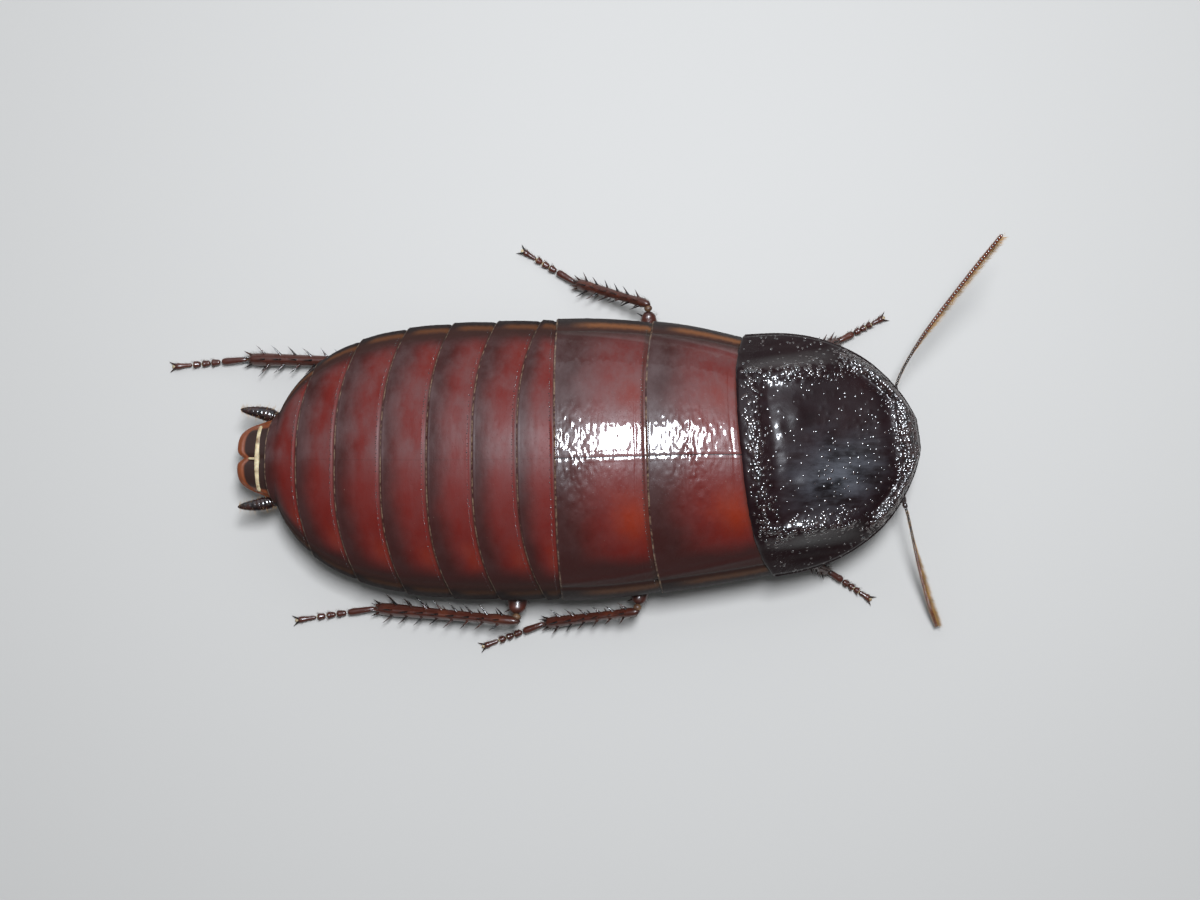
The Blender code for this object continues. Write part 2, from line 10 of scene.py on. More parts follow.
import bmesh
import bpy
import numpy as np
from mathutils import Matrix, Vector


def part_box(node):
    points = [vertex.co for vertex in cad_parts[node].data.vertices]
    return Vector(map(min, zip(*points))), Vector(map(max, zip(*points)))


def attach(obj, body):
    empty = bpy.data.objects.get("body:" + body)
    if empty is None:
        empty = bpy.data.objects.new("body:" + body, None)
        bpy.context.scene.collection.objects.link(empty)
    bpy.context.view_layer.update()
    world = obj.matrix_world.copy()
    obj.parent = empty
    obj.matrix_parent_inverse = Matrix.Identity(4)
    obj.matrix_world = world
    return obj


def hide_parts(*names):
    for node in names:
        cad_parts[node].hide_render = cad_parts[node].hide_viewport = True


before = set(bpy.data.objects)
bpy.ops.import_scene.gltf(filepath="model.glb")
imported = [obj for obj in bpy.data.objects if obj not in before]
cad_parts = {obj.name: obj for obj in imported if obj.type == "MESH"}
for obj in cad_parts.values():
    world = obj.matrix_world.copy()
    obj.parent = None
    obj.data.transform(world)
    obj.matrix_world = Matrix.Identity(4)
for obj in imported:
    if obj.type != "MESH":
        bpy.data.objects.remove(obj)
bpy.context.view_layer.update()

bl_info = {
    "name": "Hissing cockroach model",
    "version": (1, 0, 0),
    "blender": (4, 5, 0),
    "location": "3D Viewport > Sidebar > Cockroach",
    "description": "Builds the shell plates, head, legs, feelers and bristles of a life-size cockroach model",
    "category": "Object",
}

MM = 0.001
UP = np.array([0.0, 0.0, 1.0])
SIDEWAYS = np.array([0.0, 1.0, 0.0])
FORWARDS = np.array([1.0, 0.0, 0.0])
SIDES = {"left": 1.0, "right": -1.0}

# The trunk, as the solids have it.
BODY_LENGTH = 75.1
HALF_WIDTH = 15.6
WIDEST_AT = 38.0
TAIL_ROOT = 2.6
HIGHEST_AT = 46.0
HEADING = (math.radians(-1.5), math.radians(4.0))
SHIELD_TURN = math.radians(4.5)
TURN_STARTS = 47.0
TURN_FULL = 58.0
TURN_PIVOT = 62.0

# Where the hind edge of each back plate crosses the midline, and how far its ends sweep forwards. For the
# belly plates, where each one's front edge crosses it, then the last one's hind edge.
METANOTUM = (35.0, 0.4)
MESONOTUM = (45.0, 1.4)
SHIELD = (55.6, 2.3)
TERGITES = [(30.9, 2.8), (26.0, 2.6), (21.0, 2.5), (15.9, 2.4), (10.7, 2.2), (6.2, 1.6), (2.5, 0.9)]
STERNITES = [35.0, 30.0, 25.0, 20.0, 15.0, 10.0, 2.2]
PLATE_STEP = 0.17
PLATE_THICKNESS = 0.2
BELLY_PLATE_THICKNESS = 0.22
BREATHING_HOLES = (32.8, 27.6, 22.6, 17.6, 12.7, 8.4)

# The shield over the head.
SHIELD_WIDEST = 57.0
SHIELD_HALF_WIDTH = 13.4
SHIELD_CREST = 16.8

# The head hangs from its crown to its mouth, with its face turned forwards and down.
CROWN = np.array([71.2, 0.0, 10.3])
MOUTH = np.array([67.0, 0.0, 3.6])
FACE_LENGTH = float(np.linalg.norm(MOUTH - CROWN))
DOWN_FACE = (MOUTH - CROWN) / FACE_LENGTH
OUT_OF_FACE = np.cross(SIDEWAYS, DOWN_FACE)
EYE_CENTRE = np.array([69.9, 3.3, 8.7])
EYE_RADII = np.array([1.15, 0.8, 1.75])
EYE_TILT = math.radians(30)
SOCKET = np.array([72.35, 2.0, 7.75])

# Each leg's joints: root and end of the coxa in the trunk's millimetres, then knee, end of the tibia and
# tip of the foot in bent ones.
FOOT_RISE = 0.42
LEGS = {
    "front_left": [
        (62.0, 5.4, 8.4), (57.4, 2.9, 4.6), (62.8, 11.8, 6.2), (67.4, 13.6, 1.3), (72.8, 16.4, FOOT_RISE)
    ],
    "front_right": [
        (62.0, -5.4, 8.4), (57.4, -2.9, 4.6), (62.4, -11.0, 6.2), (66.2, -12.9, 1.3), (71.2, -16.2, FOOT_RISE)
    ],
    "middle_left": [
        (54.2, 7.6, 4.6), (47.8, 4.2, 2.9), (45.4, 16.8, 5.8), (37.2, 20.4, 1.3), (31.0, 24.2, FOOT_RISE)
    ],
    "middle_right": [
        (54.2, -7.6, 4.6), (47.8, -4.2, 2.9), (44.2, -16.6, 5.8), (33.6, -19.0, 1.3), (26.5, -21.7, FOOT_RISE)
    ],
    "hind_left": [
        (42.8, 8.2, 4.6), (31.4, 5.2, 2.7), (16.6, 10.8, 3.8), (-0.9, 11.6, 1.2), (-9.6, 10.8, FOOT_RISE)
    ],
    "hind_right": [
        (43.2, -8.2, 4.6), (32.6, -4.8, 2.7), (30.4, -17.7, 5.4), (14.0, -17.3, 1.2), (4.8, -18.7, FOOT_RISE)
    ],
}
# Half widths and half depths of coxa, femur and tibia, and how many spines stand in each row of the tibia.
GIRTHS = {
    "front": ((2.0, 1.05), (1.25, 0.85), (0.5, 0.46), 4),
    "middle": ((2.5, 1.1), (1.55, 0.95), (0.6, 0.54), 6),
    "hind": ((2.9, 1.1), (1.75, 1.0), (0.72, 0.62), 8),
}
TARSUS_JOINTS = [(0.0, 0.36), (0.38, 0.5), (0.52, 0.63), (0.65, 0.75), (0.77, 1.0)]

# The feelers in bent millimetres, from a point on the first joint to the tip, then the shares of the way
# where the second joint and the beads start, and how many beads there are.
ANTENNAE = {
    "left": [(73.0, 5.9, 8.3), (73.4, 8.9, 9.0), (75.6, 13.4, 12.2), (79.1, 18.7, 17.0), (82.6, 23.6, 21.7)],
    "right": [
        (73.7, -3.7, 8.1), (74.6, -6.4, 7.8), (75.9, -11.2, 6.0), (77.5, -16.0, 3.3), (78.9, -19.4, 1.4)
    ],
}
KNUCKLE = 0.14
FIRST_BEAD = 0.19
ANTENNA_RINGS = 62

# Fineness: edges sharper than this stay sharp, and the steps of the shield's grid and its granules' tries.
SHARP_FROM = math.radians(50)
SHIELD_GRID = (204, 216)
GRANULE_TRIES = 16000

# How the maps of bristles and spines are shared out: tiles across and along, and rows of spines.
MOUTH_TILES = (4, 5)
LEG_TILES = (6, 8)
SPINE_ROWS = 7

# The studio: the point looked at, in the trunk's millimetres, and each light's way from it in metres, its
# width and height, and its power in watts. The sky brightens with height and towards the animal's left.
LOOKED_AT = np.array([39.9, 0.8, 16.0])
LIGHTS = {
    "key": ((0.02, 0.06, 0.30), (0.05, 0.09), 1.4),
    "far_fill": ((-0.05, 0.45, 0.4), (0.7, 0.5), 0.7),
}
LIGHT_TINT = (0.86, 0.92, 1.0)
SKY_TINT = (0.86, 0.94, 1.0, 1.0)
SKY_BRIGHTENS = (0.0, 0.45, 1.0)
SKY_RANGE = {"From Min": 0.25, "From Max": 1.0, "To Min": 0.06, "To Max": 0.34}
FLOOR_REACH = 3.0
SENSOR_WIDTH = 36.0
NEAREST_SEEN = 0.005


# The trunk's plain form.


def unit(vectors):
    """Vectors brought to length 1."""
    return vectors / np.maximum(np.linalg.norm(vectors, axis=-1, keepdims=True), 1e-12)


def joined(*parts):
    """Arrays of coordinates spread to one shape and joined into points."""
    return np.stack(np.broadcast_arrays(*parts), axis=-1)


def turns(count):
    """count even turns of a circle, from 0 up to one step short of 2 pi."""
    return np.arange(count) / count * 2 * math.pi


def tipped(points, angle):
    """Points turned about the y axis: x cos - z sin, y, and x sin + z cos of the angle."""
    cosine, sine = math.cos(angle), math.sin(angle)
    x, y, z = points[..., 0], points[..., 1], points[..., 2]
    return joined(x * cosine - z * sine, y, x * sine + z * cosine)


def bell(distance, width):
    """The bell curve exp(-(distance / width) squared)."""
    return np.exp(-((distance / width) ** 2))


def step(value, low, high):
    """A smooth step from 0 at low to 1 at high."""
    share = np.clip((value - low) / (high - low), 0, 1)
    return share * share * (3 - 2 * share)


def spread(count):
    """count shares from -1 to 1, the sine of even steps, so closer together at both ends."""
    return np.sin(np.linspace(-1, 1, count) * math.pi / 2)


def bent(points):
    """Curves a straight trunk: each cross-section turns by a heading that grows evenly with x, and from the
    mesothorax forwards by a further turn about a point under the shield."""
    points = np.array(points, float)
    tail, head = HEADING
    x = points[..., 0].copy()
    share = np.clip((x - TURN_STARTS) / (TURN_FULL - TURN_STARTS), 0, 1)
    turn = SHIELD_TURN * share
    points[..., 0] -= points[..., 1] * (tail + (head - tail) * x / BODY_LENGTH + turn)
    points[..., 1] += tail * x + (head - tail) * x**2 / (2 * BODY_LENGTH) + turn * (x - TURN_PIVOT) * share**2
    return points


def trunk_offset():
    """The frame's origin in the trunk's millimetres, read from where the solids have the two eyes."""
    corners = [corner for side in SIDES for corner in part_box(f"eye_{side}")]
    eyes = bent([EYE_CENTRE, EYE_CENTRE * (1, -1, 1)])
    return eyes.mean(0) - np.mean(corners, axis=0) / MM


OFFSET = trunk_offset()


def place(points):
    """Bent millimetres taken to metres in the solids' frame."""
    return (points - OFFSET) * MM


def half_width(x):
    """Half the trunk's width: the widest times (1 - behind^4)^0.5 behind and 1 - 0.45 ahead^1.7 in front."""
    behind = np.clip((WIDEST_AT - x) / (WIDEST_AT - TAIL_ROOT), 0, 0.972)
    ahead = np.clip((x - WIDEST_AT) / (BODY_LENGTH - WIDEST_AT), 0, 1)
    return HALF_WIDTH * np.sqrt(1 - behind**4) * (1 - 0.45 * ahead**1.7)


def back_height(x):
    """Height of the back's midline, highest over the thorax."""
    behind = np.clip((HIGHEST_AT - x) / HIGHEST_AT, 0, 1)
    ahead = np.clip((x - HIGHEST_AT) / (BODY_LENGTH - HIGHEST_AT), 0, 1)
    return 16.9 - 8.2 * behind**3.2 - 1.9 * ahead**2


def margin_height(x):
    """Height of the trunk's side edges."""
    return np.interp(x, (0, BODY_LENGTH), (7.2, 8.5))


def belly_height(x):
    """Height of the belly's midline."""
    rise = 1.9 * np.clip((WIDEST_AT - x) / WIDEST_AT, 0, 1) ** 4
    return np.interp(x, (WIDEST_AT, SHIELD[0]), (4.4, 5.0)) + rise


def vault(x, across, base, rise, width, powers, lift):
    """A point of an arch (width across, base + rise (1 - |across|^p)^q), moved by lift along its normal."""
    p, q = powers
    side = np.clip(np.abs(across), 0, 0.999)
    inner = 1 - side**p
    slope = -rise * p * q * side ** (p - 1) * inner ** (q - 1) * np.sign(across)
    size = np.hypot(width, slope) * np.sign(rise)
    y = width * across - lift * slope / size
    return joined(x, y, base + rise * inner**q + lift * width / size)


def back(x, across, lift):
    """A point of the back, lift outside its plain form."""
    base = margin_height(x) + 0.15
    return vault(x, across, base, back_height(x) - base, half_width(x), (2.2, 0.75), lift)


def belly(x, across, lift):
    """A point of the belly, lift outside its plain form."""
    base = margin_height(x) - 0.35
    return vault(x, across, base, belly_height(x) - base, half_width(x) - 0.45, (3.0, 0.8), lift)


def swept(edge, across):
    """x of a plate's edge: its place at the midline plus its sweep times |across| cubed."""
    return edge[0] + edge[1] * np.abs(across) ** 3


def outline(x):
    """Half width of the shield at x: full behind its widest place, then round to a blunt front."""
    share = np.clip((x - SHIELD_WIDEST) / (BODY_LENGTH + 0.3 - SHIELD_WIDEST), 0, 1)
    return SHIELD_HALF_WIDTH * (1 - share**2.6) ** 0.68


def shield_height(x, y):
    """Height of the shield: a crest less powers of the way forwards and aside, a dish and two shoulders."""
    along = np.clip((x - SHIELD[0]) / (BODY_LENGTH - SHIELD[0]), 0, 1)
    side = np.abs(y) / SHIELD_HALF_WIDTH
    height = SHIELD_CREST - 4.6 * along**1.8 - 7.0 * side**2.3
    dish = bell(along - 0.55, 0.27) * bell(side, 0.45)
    return height - 0.9 * dish + 0.55 * bell(along - 0.45, 0.3) * bell(side - 0.6, 0.135)


# Noise for relief.


def noise(x, y, seed):
    """Smooth noise from -1 to 1 on cells of size 1: values at the lattice points, blended by smooth steps."""
    table = np.random.default_rng(seed).uniform(-1, 1, (128, 128))
    i, j = np.floor(x).astype(int), np.floor(y).astype(int)
    u, v = step(x - i, 0, 1), step(y - j, 0, 1)

    def corner(a, b):
        """The value at a corner of each point's cell."""
        return table[(i + a) % 128, (j + b) % 128]

    near = corner(0, 0) * (1 - u) + corner(1, 0) * u
    return near * (1 - v) + (corner(0, 1) * (1 - u) + corner(1, 1) * u) * v


def pits(x, y, seed, radius, share):
    """Round pits from 0 to 1, one at a random place in a share of the cells of size 1."""
    table = np.random.default_rng(seed).uniform(0, 1, (3, 128, 128))
    i, j = np.floor(x).astype(int), np.floor(y).astype(int)
    deepest = np.zeros(np.broadcast(x, y).shape)
    for a in (-1, 0, 1):
        for b in (-1, 0, 1):
            p, q, r = table[:, (i + a) % 128, (j + b) % 128]
            reach = bell(np.hypot(i + a + p - x, j + b + q - y), radius) * (0.5 + 0.5 * r / share)
            deepest = np.maximum(deepest, reach * (r < share))
    return deepest


# Meshes from arrays.


class Skin:
    """Tubes, plates and spikes gathered into one mesh. Faces are arrays of point numbers with a map."""

    def __init__(self):
        self.points, self.faces, self.maps, self.count = [], [], [], 0

    def add(self, points, *faces_and_maps):
        """Takes points, and pairs of faces and their corners' places on the map. Faces count from these
        points."""
        self.points.append(points.reshape(-1, 3))
        for faces, corners in faces_and_maps:
            self.faces.append(faces + self.count)
            self.maps.append(np.broadcast_to(corners, (*faces.shape, 2)))
        self.count += self.points[-1].shape[0]

    def tube(self, hoops, along=(0.0, 1.0)):
        """A rod through hoops of points, closed round and capped by one face at each end. Its map runs once
        round, and from one number to the other along it."""
        rows, sides = hoops.shape[:2]
        index = wrapped(rows, sides)
        spots = chart(sides + 1, np.linspace(*along, rows))
        first = (index[None, 0, -2::-1], spots[None, 0, -2::-1])
        last = (index[None, -1, :-1], spots[None, -1, :-1])
        self.add(hoops, (squares(index), squares(spots)), first, last)

    def wheel(self, hoops):
        """A ring of hoops, closed both ways."""
        rows, sides = hoops.shape[:2]
        index = wrapped(rows, sides)
        index = np.vstack([index, index[:1]])
        self.add(hoops, (squares(index), squares(chart(sides + 1, np.linspace(0, 1, rows + 1)))))

    def plate(self, top, under, spots, bulge=0.5, hoops=3):
        """A closed plate: grid top, grid under, and between their borders a rim that bulges out half round.
        The rim's points are the middle of both borders, plus cosine and sine shares of the half thickness
        and of the border's outward normal."""
        rows, columns = top.shape[:2]
        index = np.arange(rows * columns).reshape(rows, columns)
        border = np.concatenate([index[0], index[1:, -1], index[-1, -2::-1], index[-2:0:-1, 0]])
        first, last = top.reshape(-1, 3)[border], under.reshape(-1, 3)[border]
        middle, half = (first + last) / 2, (first - last) / 2
        outwards = unit(np.cross(np.roll(middle, -1, 0) - np.roll(middle, 1, 0), half))
        if np.sum(outwards * (middle - middle.mean(0))) < 0:
            outwards = -outwards
        angle = np.linspace(0, math.pi, hoops + 2)[1:-1, None, None]
        reach = bulge * np.linalg.norm(half, axis=-1, keepdims=True) * 2
        hoop = middle + half * np.cos(angle) + outwards * reach * np.sin(angle)
        total = rows * columns
        loops = 2 * total + np.arange(hoops * len(border)).reshape(hoops, -1)
        loops = np.vstack([border, loops, border + total])
        loops = np.column_stack([loops, loops[:, 0]])
        rim = spots.reshape(-1, 2)[np.append(border, border[0])]
        rim = np.broadcast_to(rim, (hoops + 2, *rim.shape))
        self.add(
            np.concatenate([top.reshape(-1, 3), under.reshape(-1, 3), hoop.reshape(-1, 3)]),
            (squares(index), squares(spots)),
            (squares(index + total)[:, ::-1], squares(spots)[:, ::-1]),
            (squares(loops)[:, ::-1], squares(rim)[:, ::-1]),
        )

    def spikes(self, roots, ways, lengths, girths, where, taper, bends=None, rows=4, sides=3):
        """Many tapered spikes at once. A spike's hoops lie at root + way length t + bend length t squared,
        with radius girth taper(t). Each has a small patch of the map, from its own place where."""
        count = len(roots)
        share = np.linspace(0, 1, rows)
        lengths, girths = (np.broadcast_to(a, count).astype(float) for a in (lengths, girths))
        bends = np.zeros_like(roots) if bends is None else bends
        reach = lengths[:, None, None] * share[:, None]
        centres = roots[:, None] + ways[:, None] * reach + bends[:, None] * reach * share[:, None]
        helper = np.where(np.abs(ways[:, 2:]) > 0.8, FORWARDS, UP)
        across = unit(np.cross(ways, helper))
        other = np.cross(ways, across)
        turn = turns(sides)
        circle = across[:, None] * np.cos(turn)[:, None] + other[:, None] * np.sin(turn)[:, None]
        radii = girths[:, None] * taper(share)
        points = centres[:, :, None] + circle[:, None] * radii[:, :, None, None]
        index = wrapped(rows, sides)
        starts = (np.arange(count) * rows * sides)[:, None, None]
        patch = chart(sides + 1, share) * 0.003
        corner = where[:, None, None]
        faces = []
        for cells, spots in (
            (squares(index), squares(patch)),
            (index[None, 0, -2::-1], patch[None, 0, -2::-1]),
            (index[None, -1, :-1], patch[None, -1, :-1]),
        ):
            wide = (starts + cells).reshape(-1, cells.shape[-1])
            faces.append((wide, (corner + spots).reshape(*wide.shape, 2)))
        self.add(points, *faces)

    def build(self, name, finish, slot, nodes=(), map_name="shell"):
        """The mesh object: its faces turned outwards, its map, its finish, and the solids it stands for."""
        mesh = bpy.data.meshes.new(name)
        faces = [face for group in self.faces for face in group.tolist()]
        mesh.from_pydata(place(np.concatenate(self.points)).tolist(), [], faces)
        mesh.uv_layers.new(name=map_name)
        corners = np.concatenate([corners.reshape(-1, 2) for corners in self.maps])
        mesh.uv_layers[map_name].uv.foreach_set("vector", corners.astype(np.float32).ravel())
        shape = bmesh.new()
        shape.from_mesh(mesh)
        bmesh.ops.recalc_face_normals(shape, faces=shape.faces)
        shape.to_mesh(mesh)
        shape.free()
        mesh.shade_smooth()
        mesh.set_sharp_from_angle(angle=SHARP_FROM)
        mesh.materials.append(finish)
        piece = bpy.data.objects.new(name, mesh)
        bpy.context.scene.collection.objects.link(piece)
        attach(piece, "root")
        if nodes:
            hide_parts(*nodes)


def squares(grid):
    """The four corners of each cell of a grid of numbers or of points."""
    parts = np.stack([grid[:-1, :-1], grid[:-1, 1:], grid[1:, 1:], grid[1:, :-1]], axis=2)
    return parts.reshape(-1, *parts.shape[2:])


def wrapped(rows, sides):
    """The point numbers of hoops in a row, each with its first number again at its end."""
    index = np.arange(rows * sides).reshape(rows, sides)
    return np.column_stack([index, index[:, 0]])


def chart(columns, along):
    """Places on a map: columns even shares from 0 to 1 across, and the numbers of along the other way."""
    return np.stack(np.meshgrid(np.linspace(0, 1, columns), along), axis=-1)


def smooth(table, shares):
    """Rows of a table at shares of the way through it, on the curve through its rows whose slope at each row
    is half the step between its neighbours."""
    given = np.asarray(table, float)
    padded = np.vstack([2 * given[0] - given[1], given, 2 * given[-1] - given[-2]])
    way = np.clip(shares, 0, 1) * (len(given) - 1)
    i = np.minimum(way.astype(int), len(given) - 2)
    f = (way - i)[:, None]
    a, b, c, d = (padded[i + k] for k in range(4))
    return b + 0.5 * ((c - a) * f + (2 * a - 5 * b + 4 * c - d) * f**2 + (3 * b - a - 3 * c + d) * f**3)


def dome(share, near, far):
    """A taper of quarter circles over the first near and the last far of the way, never quite to nothing."""
    start = np.clip(share / near, 0.015, 1)
    end = np.clip((1 - share) / far, 0.015, 1)
    return np.sqrt(1 - (1 - start) ** 2) * np.sqrt(1 - (1 - end) ** 2)


def rings(given, rows, sides, flat, near, far, relief=None):
    """Rings of a limb. given has rows of x, y, z, half width along flat and half depth across it. The rings
    are ellipses square to the smooth path, closed by domes, and swollen by relief(share, turn)."""
    share = spread(rows) / 2 + 0.5
    table = smooth(given, share)
    path, across, deep = table[:, :3], table[:, 3], table[:, 4]
    ahead = unit(np.gradient(path, axis=0))
    side = unit(flat - ahead * (ahead @ flat)[:, None])
    other = np.cross(ahead, side)
    turn = turns(sides)
    swell = dome(share, near, far)[:, None] * (1 + (relief(share[:, None], turn) if relief else 0))
    wide = (across[:, None] * swell * np.cos(turn))[..., None] * side[:, None]
    return path[:, None] + wide + (deep[:, None] * swell * np.sin(turn))[..., None] * other[:, None]


def stations(path, across, deep):
    """A limb's table: path points, spread evenly, beside its half widths and half depths."""
    shares = np.linspace(0, 1, len(across))
    return np.column_stack([smooth(path, shares), across, deep])


def facing(grid):
    """Unit normals of a grid of points, those of a mostly level one pointing up."""
    normal = unit(np.cross(np.gradient(grid, axis=0), np.gradient(grid, axis=1)))
    return normal * np.sign(np.sum(normal[..., 2]) or 1)


def needle(share):
    """A bristle's taper."""
    return (1 - share) ** 0.7 + 0.04


def horn(share):
    """A spine's taper, swollen at the root."""
    return (1 - share) ** 0.85 + 0.3 * bell(share, 0.16) + 0.03


def bead(share):
    """A granule's half round."""
    return np.sqrt(np.clip(1 - share**2, 0, 1)) + 0.02


# Shader maths.


class Wire:
    """A shader socket. Arithmetic on it adds Math nodes."""

    def __init__(self, paint, socket):
        self.paint, self.socket = paint, socket

    def math(self, operation, *values):
        """A Math node of these values."""
        return self.paint.node("ShaderNodeMath", {"operation": operation}, dict(enumerate(values)))

    def __add__(self, other):
        return self.math("ADD", self, other)

    def __sub__(self, other):
        return self.math("SUBTRACT", self, other)

    def __rsub__(self, other):
        return self.math("SUBTRACT", other, self)

    def __mul__(self, other):
        return self.math("MULTIPLY", self, other)

    def __abs__(self):
        return self.math("ABSOLUTE", self)

    __radd__, __rmul__ = __add__, __mul__

    def step(self, low, high):
        """A smooth step from 0 at low to 1 at high."""
        inputs = {"Value": self, "From Min": low, "From Max": high}
        return self.paint.node("ShaderNodeMapRange", {"interpolation_type": "SMOOTHSTEP"}, inputs)

    def bell(self, middle, width):
        """About 1 at middle, falling smoothly to 0 at width away from it."""
        return 1 - abs(self - middle).step(0, width)


class Paint:
    """One material's nodes, ending in its Principled BSDF."""

    def __init__(self, name):
        self.material = bpy.data.materials.new(name)
        self.material.use_nodes = True
        self.tree = self.material.node_tree
        self.shader = self.tree.nodes["Principled BSDF"]

    def node(self, kind, settings=None, inputs=None, output=0):
        """Adds a node, sets its settings, then its inputs' values or links, and gives one of its outputs."""
        made = self.tree.nodes.new(kind)
        for key, value in (settings or {}).items():
            setattr(made, key, value)
        for key, value in (inputs or {}).items():
            self.feed(made.inputs[key], value)
        return Wire(self, made.outputs[output])

    def feed(self, socket, value):
        """Links a socket's value, or sets it."""
        if isinstance(value, Wire):
            self.tree.links.new(value.socket, socket)
        else:
            socket.default_value = value

    def spot(self):
        """Object coordinates."""
        return self.node("ShaderNodeTexCoord", output="Object")

    def own_map(self):
        """The two numbers of the piece's own map."""
        spots = self.node("ShaderNodeUVMap", {"uv_map": "shell"})
        parts = self.node("ShaderNodeSeparateXYZ", inputs={0: spots})
        return parts, Wire(self, parts.socket.node.outputs[1])

    def noise(self, per_mm, detail, stretch=(1.0, 1.0, 1.0), rough=0.55):
        """Noise about 0.5 with per_mm cells to the millimetre."""
        scaled = self.node("ShaderNodeMapping", inputs={"Vector": self.spot(), "Scale": stretch})
        inputs = {"Vector": scaled, "Scale": per_mm / MM, "Detail": detail, "Roughness": rough}
        return self.node("ShaderNodeTexNoise", {"normalize": True}, inputs)

    def cells(self, per_mm, random=1.0):
        """Distance from the middle of random cells, per_mm of them to the millimetre."""
        inputs = {"Vector": self.spot(), "Scale": per_mm / MM, "Randomness": random}
        return self.node("ShaderNodeTexVoronoi", {"feature": "F1"}, inputs, "Distance")

    def blend(self, first, second, share):
        """Colour first turning to second by share."""
        colours = [c if isinstance(c, Wire) else (*c, 1.0) for c in (first, second)]
        inputs = {0: share, 6: colours[0], 7: colours[1]}
        return self.node("ShaderNodeMix", {"data_type": "RGBA"}, inputs, 2)

    def finish(self, colour, roughness, height=None, depth_mm=0.0, **constants):
        """Sets colour, roughness, a bump of height times depth_mm, and other sockets by their names."""
        self.feed(self.shader.inputs["Base Color"], colour if isinstance(colour, Wire) else (*colour, 1.0))
        self.feed(self.shader.inputs["Roughness"], roughness)
        if height is not None:
            inputs = {"Height": height, "Strength": 1.0, "Distance": depth_mm * MM}
            self.feed(self.shader.inputs["Normal"], self.node("ShaderNodeBump", inputs=inputs))
        for key, value in constants.items():
            self.feed(self.shader.inputs[key.replace("_", " ")], value)
        return self.material


def finish_once(maker, *extra, name=None):
    """A maker's material, named after it unless a name is given, and made the first time it is asked for."""
    name = name or maker.__name__
    return bpy.data.materials.get(name) or maker(Paint(name), *extra)


def looks():
    """The colours that the panel shows."""
    return bpy.context.scene.cockroach_colours


